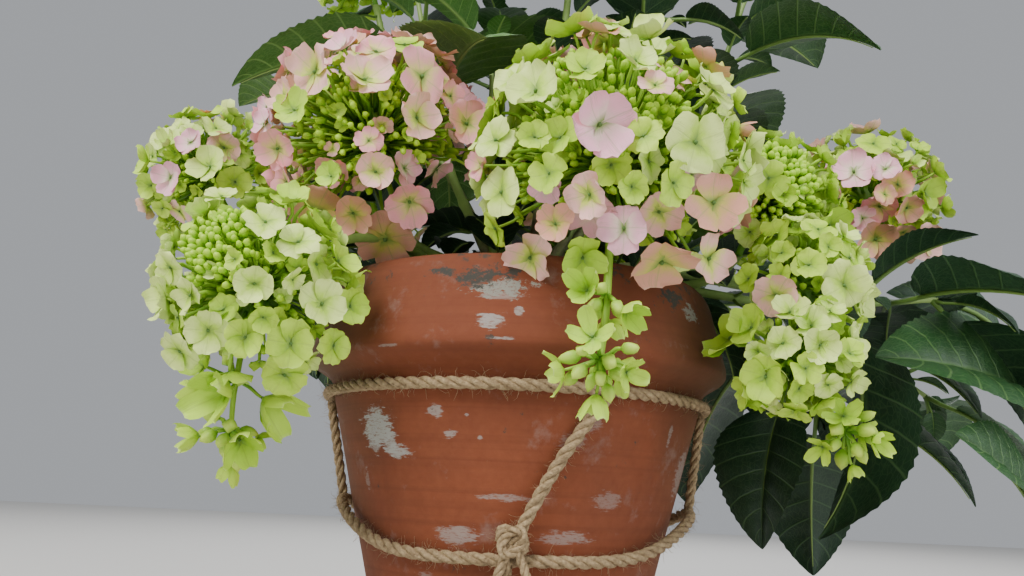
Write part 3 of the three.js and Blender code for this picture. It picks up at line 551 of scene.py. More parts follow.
def makePotMaterial():
    material, tree, shader = newMaterial("terracotta", 0.82, 0.35)
    place = objectPlace(tree)
    clay, dark, pale = potPaint["clay"], potPaint["clayDark"], potPaint["clayPale"]
    body = mottled(tree, place, 14.0, 1.7, dark, clay)
    fine = mottled(tree, place, 160.0, 1.5, dark, pale)
    split = addNode(tree, "ShaderNodeSeparateXYZ", {0: place}).outputs
    rings = cloudOf(tree, stretched(tree, place, (2.0, 2.0, 260.0)), 1.0, 3.0)
    sideways = mathOf(tree, "ABSOLUTE", split["X"])
    # darker towards the left and right sides as seen from the camera: painted shade, with a moss tint
    dampAndSideShade = mathOf(tree, "MULTIPLY_ADD", cloudOf(tree, place, 11.0, 5.0), 0.07, sideways)
    film = cloudOf(tree, place, 38.0, 8.0, 0.7)
    layers = [(ramped(tree, value, *potMasks[kind]), paint) for kind, value, paint in (
        ("thrownLines", rings, dark), ("bandShade", split["Z"], dark),
        ("dampAndSideShade", dampAndSideShade, potPaint["mossAndSideShade"]), ("film", film, potPaint["limewash"]))]
    for *where, strength in potMarks:
        mask = markMask(tree, place, *where, Ragged=3.0, Grain=120.0, Streak=4.0)
        layers.append((mathOf(tree, "MULTIPLY", mask, strength), potPaint["limewash"]))
    for *where, paint in lichenMarks:
        mask = markMask(tree, place, *where, Ragged=4.5, Grain=150.0, Streak=1.6)
        layers.append((mask, potPaint[paint]))
    rimward = ramped(tree, split["Z"], *potMasks["rimward"])
    crust = mathOf(tree, "SUBTRACT", rimward, cloudOf(tree, place, 75.0, 7.0, 0.7))
    layers.append((ramped(tree, crust, *potMasks["crust"]), potPaint["lichen"]))
    colour = layered(tree, mixColour(tree, 0.22, body["Colour"], fine["Colour"]), layers)
    addLook(tree, shader, colour, mathOf(tree, "MULTIPLY_ADD", rings, 0.6, fine["Height"]), 0.35, 0.8 * mm)
    return material


def makePot():
    profile = [(radius * mm, height * mm) for radius, height in potShape["profile"]]
    profile = divided(softened(profile, potShape["cornerCuts"]), potShape["longestRun"])

    def relief(angle, height):  # hand-thrown unevenness
        return potShape["wobble"] * noise.noise(roundAbout(1.4, angle, height * 22))

    store = storeOf(*turnedShell(profile, potShape["steps"], relief))
    finishStore("pot.thrown", store, makePotMaterial(), "terracotta", "pot", mapName="along")


makePot()


# Soil

soilShape = {
    "steps": 96,
    "rows": 26,
    "height": 236 * mm,
    "crown": 5 * mm,
    "edgeRadius": 120 * mm,
    "roughness": 2.4 * mm,
    "depth": 12 * mm,
    "settling": 1.0 * mm,
    "chips": 620,
    "chipSeed": 77, "chipSeeds": (3, 5, 8, 13),  # of the places, and of the shapes
    "chipForm": (0.5, 0.28, 0.07), "chipSides": 6,  # half length, half width and half thickness
    "chipMargin": 5 * mm,  # clear of the pot's wall
    "chipSize": 7 * mm,
}
soilLooks = {  # roughness and specular; scale, contrast, dark and light; bump
    "compost": ((0.95, 0.2), (240.0, 2.4, (0.012, 0.009, 0.006, 1), (0.085, 0.058, 0.038, 1)),
                (0.9, 2.5 * mm)),
    "barkChips": ((0.9, 0.25), (60.0, 3.0, (0.045, 0.026, 0.016, 1), (0.20, 0.125, 0.075, 1)),
                  (0.6, 1 * mm)),
}


def randomFrom(seed):  # the source's seeded numbers from 0 to 1
    word = 0xFFFFFFFF
    state = [seed & word]

    def draw():
        state[0] = (state[0] + 0x6D2B79F5) & word
        mixed = ((state[0] ^ (state[0] >> 15)) * (state[0] | 1)) & word
        more = ((mixed ^ (mixed >> 7)) * (mixed | 61)) & word
        mixed = ((mixed + more) & word) ^ mixed
        return (mixed ^ (mixed >> 14)) / (word + 1)

    return draw


def facingFrame(facing, turn):  # columns: across, along, facing
    aside = Vector((1, 0, 0)) if abs(facing.z) > 0.9 else Vector((0, 0, 1))
    across = Matrix.Rotation(turn, 3, facing) @ aside.cross(facing).normalized()
    return Matrix((across, facing.cross(across), facing)).transposed()


def hiddenShapes(name, stores, material):  # shapes to be placed, kept out of the scene
    shapes = bpy.data.collections.new(name)
    for index, store in enumerate(stores):
        own = f"{name}{index:02d}"
        shapes.objects.link(bpy.data.objects.new(own, makeMesh(own, store, material)))
    return shapes


def chipStore(seed):
    random = randomFrom(seed)
    long, wide, thick = soilShape["chipForm"]
    sides = soilShape["chipSides"]
    points = []
    for lift in (-thick, thick):
        for angle in np.linspace(0, fullTurn, sides, endpoint=False):
            corner = Vector((math.cos(angle) * long, math.sin(angle) * wide, 0))
            points.append(corner * (0.8 + 0.4 * random()) + Vector((0, 0, lift)))
    ends = [tuple(reversed(range(sides))), tuple(range(sides, 2 * sides))]
    return storeOf(points, ringFaces(2, sides) + ends)


def makeSoil():
    height, crown, edge = soilShape["height"], soilShape["crown"], soilShape["edgeRadius"]
    rows, depth = soilShape["rows"], soilShape["depth"]
    profile = [(0, height - crown - depth), (edge, height - crown - depth)]
    for row in range(rows + 1):
        share = 1 - row / rows
        profile.append((edge * share, height - crown * share ** 2))
    points, faces = turnedShell(profile, soilShape["steps"])
    for point in points[1 + soilShape["steps"]:]:
        lumps = noise.noise(point * 90) + 0.6 * noise.noise(point * 260)
        point.z += soilShape["roughness"] * lumps - soilShape["settling"]
    looks = {name: mottledMaterial(name, finish, (1, 1, 1), pattern, bump)
             for name, (finish, pattern, bump) in soilLooks.items()}
    finishStore("soil.compost", storeOf(points, faces), looks["compost"], "soil", "soil", mapName="along")
    random = randomFrom(soilShape["chipSeed"])
    places = []
    for index in range(soilShape["chips"]):
        reach = math.sqrt((index + 0.5) / soilShape["chips"]) * (edge - soilShape["chipMargin"])
        angle = index * goldenAngle + 0.8 * random()
        level = height - crown * (reach / edge) ** 2 + (random() - 0.3) * 2 * mm
        facing = Vector((random() - 0.5, random() - 0.5, 1.1)).normalized()
        size = soilShape["chipSize"] * (0.6 + 0.9 * random())
        turn = facingFrame(facing, random() * fullTurn)
        shape = index % len(soilShape["chipSeeds"])
        places.append((roundAbout(reach, angle, level), turn, size, shape))
    chips = [chipStore(seed) for seed in soilShape["chipSeeds"]]
    shapes = hiddenShapes("chip", chips, looks["barkChips"])
    placeShapes("soil.barkChips", places, shapes, looks["barkChips"], "soil", "soil")


makeSoil()


# Rope lashing

lashing = {
    "radius": 4 * mm,
    "gap": 0.5 * mm,  # between rope and wall
    "upperHeight": 184 * mm,
    "wallRadius": 130.5 * mm,
    "lowerHeight": 83 * mm,
    "lowerRise": 30 * mm,
    "riseSharpness": 6,
    "leftStandOff": 3 * mm,
    "rightStandOff": 9 * mm,
    "standOffSharpness": 4,
    "laySpan": 27 * mm,  # length of rope in which a strand goes round once
    "layShare": 0.52,  # of the rope's radius
    "strandShare": 0.5,
    "pointSpan": 2.4 * mm,
    "diagonalAngle": -66 * degree,
    "diagonalBend": -78 * degree,
    "diagonalDrop": 1 * mm, "bendRise": 4 * mm, "bendStandOff": 1 * mm,
    "knotAngle": -90 * degree, "knotRise": 9 * mm, "knotStandOff": 3 * mm,
    # each oval's tilt, half width, half height, way forward and lift
    "hitchOvals": [(32, 8.6, 4.6, 0.5, 3), (-52, 8.2, 4.8, 4.5, 2)],
    "ovalWave": 1.6,
    "knotRopeRadius": 3.2 * mm,
    "tailRadius": 3.0 * mm, "tailGap": 1 * mm, "tailLength": 32 * mm, "tailDifference": 6 * mm,
    "tailStops": [(1, 0), (7, 0.33), (11, 0.67), (14, 0.97)],  # way aside, and share of the length
    "dropShare": 0.88,  # of the rope's radius
    "ringSteps": 120, "dropSteps": 6, "ovalSteps": 28, "wrapSteps": 12,
    "wrapReach": 85,  # degrees over and under the lower ring
    "wrapSunk": 0.6 * mm, "wrapStart": -5 * mm, "wrapAdvance": 3 * mm,
    "fibreLength": 7 * mm,
    "fibreBend": [(0, 0, 0), (0.12, 0, 0.4), (0.42, 0.1, 0.8), (0.8, 0.1, 0.95)],
    "fibreRadii": [0.16 * mm, 0.14 * mm, 0.11 * mm, 0.05 * mm],
    "fibreDensity": 48000,  # a square metre
}
jutePaint = {  # scale, contrast, dark and light
    "yarn": (330.0, 2.4, (0.14, 0.088, 0.042, 1), (0.60, 0.45, 0.26, 1)),
    "stain": (22.0, 1.4, (0.24, 0.17, 0.10, 1), (0.50, 0.36, 0.21, 1)),
    "stainShare": 0.4,
    "fibreScale": 700.0,
}


def bodyRadius(height):  # of the pot's wall, below its shoulder
    (foot, low), (top, high) = potShape["profile"][2:4]
    return (foot + (top - foot) * min((height / mm - low) / (high - low), 1)) * mm


def lowerRingHeight(angle):
    rise = abs(math.cos(angle)) ** lashing["riseSharpness"]
    return lashing["lowerHeight"] + lashing["lowerRise"] * rise


def standOff(angle):
    right = (1 + math.cos(angle)) / 2
    widest = lashing["leftStandOff"] * (1 - right) + lashing["rightStandOff"] * right
    return widest * abs(math.cos(angle)) ** lashing["standOffSharpness"]


def besideWall(angle, height, gap=0.0):
    return roundAbout(bodyRadius(height) + lashing["radius"] + lashing["gap"] + gap, angle, height)


def smoothPath(points, steps):  # a curve through points
    dense = []
    for index in range(len(points) - 1):
        before = points[max(index - 1, 0)]
        start, end = points[index], points[index + 1]
        after = points[min(index + 2, len(points) - 1)]
        for step in range(steps):
            t = step / steps
            bend = 2 * before - 5 * start + 4 * end - after
            twist = 3 * start - before - 3 * end + after
            dense.append(start + 0.5 * ((end - before) * t + bend * t * t + twist * t ** 3))
    return dense + [points[-1]]


def makeJuteMaterial():
    material, tree, shader = newMaterial("jute", 0.88, 0.25)
    place = objectPlace(tree)
    yarn, stain = [mottled(tree, place, *jutePaint[kind])["Colour"] for kind in ("yarn", "stain")]
    colour = mixColour(tree, jutePaint["stainShare"], yarn, stain)
    addLook(tree, shader, colour, cloudOf(tree, place, jutePaint["fibreScale"], 4.0), 1.0, 1.2 * mm)
    return material


def makeRope(name, path, radius, closed, material):
    length = sum((after - before).length for before, after in zip(path, path[1:]))
    if closed:
        length += (path[0] - path[-1]).length
    turns = max(1, round(length / lashing["laySpan"] * lashing["radius"] / radius))
    return applyTree(
        name, pathMesh(name + "Path", path, closed), strandTree,
        Points=round(length / lashing["pointSpan"]), Turns=float(turns),
        Lay_radius=radius * lashing["layShare"], Strand_radius=radius * lashing["strandShare"],
        Material=material)


def ropePaths():
    angles = [fullTurn * step / lashing["ringSteps"] for step in range(lashing["ringSteps"])]
    upperReach = lashing["wallRadius"] + lashing["radius"] + lashing["gap"]
    high = lashing["upperHeight"]
    upper = [roundAbout(upperReach, angle, high) for angle in angles]
    lower = [besideWall(angle, lowerRingHeight(angle), standOff(angle)) for angle in angles]
    drops = []
    for angle in (math.pi, 0.0):
        low = lowerRingHeight(angle)
        shares = [step / lashing["dropSteps"] for step in range(lashing["dropSteps"] + 1)]
        drops.append([besideWall(angle, high + (low - high) * s, standOff(angle) * s) for s in shares])
    knotHeight = lashing["lowerHeight"] + lashing["knotRise"]
    knot = besideWall(lashing["knotAngle"], knotHeight, lashing["knotStandOff"])
    start = besideWall(lashing["diagonalAngle"], high - lashing["diagonalDrop"])
    bendHeight = (start.z + knot.z) / 2 + lashing["bendRise"]
    middle = besideWall(lashing["diagonalBend"], bendHeight, lashing["bendStandOff"])
    return upper, lower, drops, smoothPath([start, middle, knot], 8), knot


def knotPaths(centre):  # a hitch: two ovals that cross in front, and a wrap over the lower ring
    ovals, steps = [], lashing["ovalSteps"]
    for tilt, wide, tall, forward, lift in lashing["hitchOvals"]:
        path = []
        for step in range(steps):
            t = fullTurn * step / steps
            level = Vector((wide * math.cos(t), 0, tall * math.sin(t)))
            flat = Matrix.Rotation(tilt * degree, 3, "Y") @ level
            wave = lashing["ovalWave"] * math.cos(2 * t)
            path.append(centre + flat * mm + Vector((0, -forward - wave, lift)) * mm)
        ovals.append(path)
    ring = besideWall(lashing["knotAngle"], lashing["lowerHeight"])
    wrap, steps = [], lashing["wrapSteps"]
    for step in range(steps + 1):
        t = (lashing["wrapReach"] - 2 * lashing["wrapReach"] * step / steps) * degree
        reach = lashing["radius"] + lashing["knotRopeRadius"] - lashing["wrapSunk"]
        aside = lashing["wrapStart"] + lashing["wrapAdvance"] * step / steps
        wrap.append(ring + Vector((aside, -reach * math.cos(t), reach * math.sin(t))))
    return ovals, wrap


def tailPaths(knot):
    paths = []
    ring = lowerRingHeight(lashing["knotAngle"])
    reach = -(bodyRadius(ring) + 2 * lashing["radius"] + lashing["tailRadius"] + lashing["tailGap"])
    for side in (-1, 1):
        length = lashing["tailLength"] - side * lashing["tailDifference"]
        stops = []
        for spread, share in lashing["tailStops"]:
            stops.append(Vector((side * spread * mm, reach, knot.z + (ring - length - knot.z) * share)))
        paths.append(smoothPath(stops, 6))
    return paths


def makeLashing():
    jute = makeJuteMaterial()
    upper, lower, drops, diagonal, knot = ropePaths()
    ovals, wrap = knotPaths(knot)
    tails = tailPaths(knot)
    radius, knotRadius, tailRadius = lashing["radius"], lashing["knotRopeRadius"], lashing["tailRadius"]
    dropRadius = radius * lashing["dropShare"]
    lengths = [  # piece, node, path, radius and whether it is a ring
        ("upperRing", "upper-ring", upper, radius, True), ("lowerRing", "lower-ring", lower, radius, True),
        ("leftDrop", "left-drop", drops[0], dropRadius, False),
        ("rightDrop", "right-drop", drops[1], dropRadius, False),
        ("diagonalLength", "diagonal", diagonal, radius, False),
        ("hitch1", "knot", ovals[0], knotRadius, True), ("hitch2", "knot", ovals[1], knotRadius, True),
        ("hitchWrap", "knot", wrap, knotRadius, False),
        ("tail1", "knot", tails[0], tailRadius, False), ("tail2", "knot", tails[1], tailRadius, False),
    ]
    bend = [Vector(place) * lashing["fibreLength"] for place in lashing["fibreBend"]]
    fibre = storeOf(*sweep(bend, lashing["fibreRadii"], 3))
    hair = addObject("fibreShape", makeMesh("fibreShape", fibre, jute))
    hair.hide_render = True
    ropes = [makeRope("rope." + name, *rest, jute) for name, _, *rest in lengths]
    for index, (rope, (_, node, *_)) in enumerate(zip(ropes, lengths)):
        finishPiece(rope, "jute", "rope." + node)
        fuzz = applyTree(rope.name + "Fibres", rope.data.copy(), fuzzTree, Fibre=hair,
                         Density=float(lashing["fibreDensity"]), Seed=40 + index, Material=jute)
        finishPiece(fuzz, "jute", "rope." + node)
    bpy.data.objects.remove(hair)


makeLashing()


# The shrub's rule: where its canes, flower heads and leafy shoots are

stool = {
    "radius": 30 * mm, "flareRadius": 37 * mm, "flareHeight": 5 * mm, "height": 236.3 * mm,
    "rings": 16, "steps": 72, "relief": 2.0 * mm, "fineRelief": 0.8 * mm,
}
cane = {
    "baseRadius": 4.2 * mm, "tipRadius": 2.8 * mm, "firstPull": 0.4, "lastPull": 0.35,
    "steps": 26, "sides": 10, "knuckles": 4, "knuckle": 0.22, "relief": 0.5 * mm, "sunk": 5 * mm,
    "knuckleSharpness": 12, "footSwell": 1.15,
}
stoolLook = [  # roughness and specular; squeeze; scale, contrast, dark and light; bump
    (0.85, 0.3), (1.0, 1.0, 0.35),
    (170.0, 2.2, (0.075, 0.05, 0.032, 1), (0.30, 0.22, 0.145, 1)), (0.9, 1.5 * mm),
]
canePaint = {  # scale, contrast, dark and light
    "green": (85.0, 1.2, (0.17, 0.29, 0.06, 1), (0.34, 0.50, 0.13, 1)),
    "woody": (150.0, 2.0, (0.10, 0.07, 0.045, 1), (0.34, 0.27, 0.17, 1)),
    "ripening": (0.42, 0.72),  # where woody ends and green begins
}
headEntry = 0.78


def ballOf(at, radius, axis, florets, spread, size, buds=0, placed=(), budding=None):
    return {"at": at, "radius": radius, "axis": axis, "florets": florets, "spread": spread, "size": size,
            "buds": buds, "placed": placed, "budding": budding}


headRows = [  # tints: shares of lime, pale, blush, peach, pink and mauve
    ("front-dome", (-62, 34), (34, 30, 12, 9, 5, 10), [
        ballOf((0.052, -0.125, 0.326), 0.088, (0.1, -0.62, 0.78), 24, 118, 0.026,
            budding={"way": (-0.1, -0.95, 0.28), "spread": 34, "bare": 0.55, "looser": 1.25},
            placed=[
                (-127, 11, 35, "pale"), (-107, 17, 24, "lime"), (-88, 21, 26, "pale"),
                (-81, 10, 20, "blush"), (-101, -6, 38, "mauve"), (-85, -10, 22, "lime"),
                (-64, -9, 38, "pale"), (-54, 15, 31, "pale"), (-126, -8, 20, "lime"),
                (-147, -4, 28, "pale"), (-149, -24, 32, "pale"), (-121, -22, 23, "lime"),
                (-105, -31, 27, "blush"), (-88, -28, 19, "lime"), (-89, -44, 29, "mauve"),
                (-160, -10, 20, "pink"), (-71, -25, 25, "lime"), (-47, -28, 34, "peach"),
                (-57, -57, 40, "peach"), (-158, -52, 34, "blush"), (-115, -57, 28, "lime"),
                (-124, -41, 22, "peach"), (-14, -46, 32, "blush"), (-170, -34, 26, "lime")]),
        ballOf((0.046, -0.172, 0.232), 0.024, (0, -0.6, -0.8), 2, 90, 0.011, 3),
        ballOf((0.042, -0.182, 0.194), 0.026, (0, -0.3, -0.95), 3, 110, 0.012, 8),
    ]),
    ("right-cascade", (-24, 36), (60, 40, 0, 0, 0, 0), [
        ballOf((0.168, -0.064, 0.324), 0.051, (0.4, -0.5, 0.77), 11, 118, 0.021,
            budding={"way": (-0.15, -0.95, 0.2), "spread": 46, "bare": 0.85},
            placed=[(-105, 4, 27, "lime"), (-71, -36, 26, "pale"), (-45, -26, 31, "lime")]),
        ballOf((0.177, -0.095, 0.261), 0.046, (0.75, -0.62, 0.1), 10, 118, 0.021,
            placed=[
                (-69, -11, 31, "pale"), (-89, -36, 27, "lime"), (-124, -20, 28, "blush"),
                (-147, -4, 19, "lime")]),
        ballOf((0.168, -0.113, 0.212), 0.041, (0.3, -0.9, -0.2), 8, 118, 0.02,
            placed=[
                (178, 13, 39, "lime"), (-146, 18, 27, "lime"), (-134, -26, 30, "lime"),
                (-98, -19, 20, "lime"), (-56, -4, 20, "lime")]),
        ballOf((0.199, -0.112, 0.168), 0.024, (0.3, -0.3, -1), 3, 110, 0.011, 7),
    ]),
    ("left-dome", (-136, 52), (12, 4, 26, 16, 30, 12), [
        ballOf((-0.107, -0.07, 0.356), 0.078, (-0.3, -0.5, 0.81), 21, 118, 0.024,
            budding={"way": (0.1, -0.97, -0.1), "spread": 34, "bare": 0.85, "looser": 2.2},
            placed=[
                (-114, 14, 36, "blush"), (-88, 8, 34, "blush"), (-60, 16, 39, "pink"),
                (-62, -7, 30, "blush"), (-31, 0, 33, "pink"), (-79, -35, 25, "blush"),
                (-105, -38, 19, "lime"), (-52, -47, 33, "pink"), (-40, -76, 41, "peach"),
                (-131, -55, 35, "peach"), (-142, -37, 30, "pink"), (-139, -20, 28, "pink"),
                (-123, -5, 24, "lime"), (-102, 28, 25, "mauve"), (-68, 36, 27, "lime"),
                (-84, 26, 28, "pink"), (-95, -58, 26, "peach"), (-152, -4, 22, "mauve")]),
    ]),
    ("left-cascade", (-162, 34), (60, 40, 0, 0, 0, 0), [
        ballOf((-0.158, -0.133, 0.234), 0.061, (-0.3, -0.8, 0.5), 15, 128, 0.022,
            budding={"way": (-0.32, -0.88, 0.3), "spread": 32, "bare": 0.9},
            placed=[
                (-77, -9, 22, "pale"), (-88, 3, 13, "lime"), (-75, 27, 24, "pale"), (-56, 17, 25, "pale"),
                (-38, -14, 28, "pale"), (-80, -38, 23, "lime"), (-104, -35, 25, "pale"),
                (-112, -16, 22, "pale"), (-49, -39, 28, "lime"), (-13, -10, 23, "lime"),
                (-146, -46, 26, "pale"), (-32, -62, 28, "lime"), (-128, 0, 22, "pale"),
                (-10, -34, 22, "lime")]),
        ballOf((-0.168, -0.126, 0.18), 0.03, (-0.3, -0.8, -0.3), 5, 115, 0.015, 1),
        ballOf((-0.169, -0.122, 0.151), 0.024, (0, -0.3, -1), 3, 115, 0.012, 6),
    ]),
    ("back-left-dome", (168, 36), (54, 24, 8, 0, 4, 10), [
        ballOf((-0.263, 0.06, 0.367), 0.06, (-0.45, -0.35, 0.82), 14, 120, 0.022,
            placed=[
                (-73, -8, 31, "pale"), (-90, 10, 23, "mauve"), (-53, -16, 27, "lime"),
                (-104, -18, 26, "mauve")]),
    ]),
    ("back-right-dome", (4, 54), (46, 18, 12, 8, 8, 8), [
        ballOf((0.285, 0.05, 0.371), 0.062, (0.4, -0.35, 0.85), 14, 120, 0.023,
            placed=[
                (-121, 6, 34, "mauve"), (-99, 6, 24, "mauve"), (-106, -47, 32, "peach"),
                (-83, -22, 26, "peach"), (-45, -44, 31, "blush")]),
    ]),
    ("high-left-dome", (148, 66), (60, 30, 10, 0, 0, 0), [
        ballOf((-0.152, 0.08, 0.585), 0.055, (-0.25, 0.1, 0.96), 12, 122, 0.022),
    ]),
    ("top-dome", (-40, 82), (50, 32, 14, 4, 0, 0), [
        ballOf((0.031, 0, 0.583), 0.058, (0.05, 0, 1), 13, 122, 0.022),
    ]),
    ("rear-left-dome", (132, 45), (30, 28, 16, 12, 8, 6), [
        ballOf((-0.15, 0.15, 0.4), 0.072, (-0.35, 0.5, 0.79), 16, 120, 0.025),
    ]),
    ("rear-dome", (80, 30), (36, 30, 14, 10, 6, 4), [
        ballOf((0.045, 0.19, 0.345), 0.08, (0.1, 0.62, 0.78), 18, 120, 0.027),
    ]),
    ("rear-right-dome", (50, 47), (34, 28, 16, 10, 6, 6), [
        ballOf((0.165, 0.14, 0.38), 0.066, (0.45, 0.4, 0.8), 14, 118, 0.024),
    ]),
]
shootRows = [
    ("high-left", (204, 64), (-0.072, 0.026, 0.41), (-0.22, 0.02, 0.97), 196, 5, 0.15, "bright"),
    ("upper-middle", (262, 68), (-0.024, -0.01, 0.304), (-0.05, 0.03, 1), 130, 5, 0.12, "bright"),
    ("upper-right", (-30, 64), (0.066, 0.03, 0.4), (0.3, -0.1, 0.95), -16, 4, 0.146, "dark"),
    ("high-right", (8, 70), (0.15, 0.05, 0.44), (0.3, 0, 0.95), -44, 4, 0.14, "mid"),
    ("right", (-4, 34), (0.236, 0.014, 0.272), (0.8, 0.05, 0.1), 90, 3, 0.165, "dark"),
    ("low-right", (28, 28), (0.196, 0.082, 0.262), (0.55, 0.1, -0.6), -30, 3, 0.16, "dark"),
    ("far-right", (26, 44), (0.292, 0.112, 0.262), (0.7, 0.2, -0.4), 20, 3, 0.145, "mid"),
    ("rear-left", (150, 32), (-0.176, 0.112, 0.296), (-0.35, 0.5, 0.6), 60, 3, 0.12, "dark"),
    ("rear", (108, 34), (-0.052, 0.172, 0.285), (-0.2, 0.8, 0.3), 100, 3, 0.14, "mid"),
    ("rear-right", (62, 34), (0.132, 0.17, 0.282), (0.4, 0.7, 0.2), 60, 3, 0.14, "dark"),
    ("high-rear", (104, 60), (-0.02, 0.09, 0.4), (-0.05, 0.2, 0.97), 80, 5, 0.14, "mid"),
    ("rear-middle", (58, 66), (0.084, 0.1, 0.4), (0.3, 0.35, 0.88), 30, 4, 0.14, "dark"),
    ("left-middle", (176, 54), (-0.16, 0.04, 0.345), (-0.15, 0.1, 0.98), 60, 3, 0.12, "bright"),
]
sideEntries = {"left-cascade": (-0.6, -0.42, -0.62)}  # heads that a cane enters from another side
headFields = ("name", "start", "tints", "balls")
shootFields = ("name", "start", "foot", "axis", "turn", "pairs", "blade", "tint")
heads = [dict(zip(headFields, row)) for row in headRows]
shoots = [dict(zip(shootFields, row)) for row in shootRows]


def directionOf(azimuth, elevation):
    level = math.cos(elevation * degree)
    around = azimuth * degree
    return Vector((level * math.cos(around), level * math.sin(around), math.sin(elevation * degree)))


stoolCentre = Vector((0, 0, stool["height"]))


def caneCurve(start, tip, tipAxis):
    outward = directionOf(*start)
    root = stoolCentre + outward * (stool["radius"] + clearance)
    span = (tip - root).length
    return [root, root + outward * span * cane["firstPull"], tip - tipAxis * span * cane["lastPull"], tip]


def bezier(corners, t):
    u = 1 - t
    return (corners[0] * u ** 3 + corners[1] * 3 * u * u * t
            + corners[2] * 3 * u * t * t + corners[3] * t ** 3)


for head in heads:
    first = head["balls"][0]
    head["axis"] = Vector(sideEntries.get(head["name"], first["axis"])).normalized()
    head["tip"] = Vector(first["at"]) - head["axis"] * first["radius"] * headEntry
    head["cane"] = caneCurve(head["start"], head["tip"], head["axis"])
for shoot in shoots:
    shoot["way"] = Vector(shoot["axis"]).normalized()
    shoot["cane"] = caneCurve(shoot["start"], Vector(shoot["foot"]), shoot["way"])
canes = [(member["name"], member["cane"]) for member in heads + shoots]


def makeCaneMaterial():  # woody at the foot, green towards the tip
    material, tree, shader = newMaterial("caneSkin", 0.55, 0.4)
    place = objectPlace(tree)
    green, woody = [mottled(tree, place, *canePaint[kind]) for kind in ("green", "woody")]
    ripening = mathOf(tree, "MULTIPLY_ADD", green["Height"], 0.5, ownMap(tree, "along")[2])
    ripe = ramped(tree, ripening, *canePaint["ripening"])
    colour = mixColour(tree, ripe, woody["Colour"], green["Colour"])
    addLook(tree, shader, colour, woody["Height"], 0.35, 0.6 * mm)
    return material


def makeStool():
    outline = [(0, 0), (stool["flareRadius"], 0)]
    first = math.asin(stool["flareHeight"] / stool["radius"])
    for step in range(stool["rings"] + 1):
        angle = first + (math.pi / 2 - first) * step / stool["rings"]
        reach = stool["radius"] * math.cos(angle) * (step < stool["rings"])
        outline.append((reach, stool["radius"] * math.sin(angle)))

    def relief(angle, height):
        around = roundAbout(1, angle)
        ridge = noise.noise(around * 5 + Vector((0, 0, height * 60)))
        grain = noise.noise(around * 14 + Vector((0, 0, height * 300)))
        return stool["relief"] * ridge + stool["fineRelief"] * grain

    points, faces = turnedShell(outline, stool["steps"], relief)
    bark = mottledMaterial("bark", *stoolLook)
    store = storeOf([point + stoolCentre for point in points], faces)
    finishStore("baseStem.bark", store, bark, "bark", "base-stem", mapName="along")


def makeCanes():
    store = emptyStore()
    for index, (_, corners) in enumerate(canes):
        path, radii = [], []
        for step in range(cane["steps"] + 1):
            t = step / cane["steps"]
            path.append(bezier(corners, t))
            wave = max(0.0, math.cos(fullTurn * t * cane["knuckles"]))
            knuckle = wave ** cane["knuckleSharpness"] * cane["knuckle"]
            radii.append((cane["baseRadius"] * (1 - t) + cane["tipRadius"] * t) * (1 + knuckle))
        outward = (corners[1] - corners[0]).normalized()
        path.insert(0, corners[0] - outward * cane["sunk"])
        radii.insert(0, radii[0] * cane["footSwell"])
        points, faces, maps = sweep(path, radii, cane["sides"])
        for corner, point in enumerate(points):
            out = (point - path[corner // cane["sides"]]).normalized()
            row = corner // cane["sides"]
            woody = 1 - 0.8 * corner / len(points)
            ridges = noise.noise(out * 3 + Vector((0, 0, index * 7 + row * 0.16)))
            points[corner] = point + out * ridges * cane["relief"] * woody
        addPart(store, points, faces, maps)
    names = [f"cane.{name}" for name, _ in canes]
    finishStore("canes.bark", store, makeCaneMaterial(), "green_stem", *names, mapName="along")


makeStool()
makeCanes()


# Places that a floret or leaf may not take, by the source's tests

margins = {"limb": 5 * mm, "pot": 3 * mm, "mouth": 8 * mm, "head": 5 * mm, "foreignPower": 80 * mm * mm}
shootStem = {
    "baseRadius": 3 * mm, "tipRadius": 1.7 * mm, "gap": 34 * mm, "firstNode": 0.45, "lastGap": 0.6,
    "leastRise": 8 * degree, "moreRise": 50 * degree, "taper": 0.4,
    "swell": 0.3, "swellShare": 0.09,  # at each node, and the share of a gap it takes
}
allBalls = [(owner, ball) for owner, head in enumerate(heads) for ball in head["balls"]]
ballCentres = np.array([ball["at"] for _, ball in allBalls])
ballRadii = np.array([ball["radius"] for _, ball in allBalls])
ballOwners = np.array([owner for owner, _ in allBalls])


def evenly(corners, count):  # points spaced evenly along a cane
    dense = [bezier(corners, step / 200) for step in range(201)]
    lengths = np.concatenate([[0], np.cumsum([(b - a).length for a, b in zip(dense, dense[1:])])])
    wanted = np.linspace(0, lengths[-1], count + 1)
    return np.array([[np.interp(w, lengths, [p[axis] for p in dense]) for axis in range(3)] for w in wanted])


canePaths = [evenly(corners, 16) for _, corners in canes]
stemPaths = []
for shoot in shoots:
    start = Vector(shoot["foot"]) + shoot["way"] * clearance
    length = shootStem["gap"] * (shoot["pairs"] - 1 + shootStem["lastGap"])
    stemPaths.append(np.array([start, start + shoot["way"] * length]))


def nearPaths(points, paths):  # whether any point is close to any of the paths
    for path in paths:
        starts, ways = path[:-1], path[1:] - path[:-1]
        share = np.einsum("psk,sk->ps", points[:, None] - starts, ways) / (ways ** 2).sum(1)
        nearest = starts + np.clip(share, 0, 1)[..., None] * ways
        if np.linalg.norm(points[:, None] - nearest, axis=2).min() < cane["baseRadius"] + margins["limb"]:
            return True
    return False


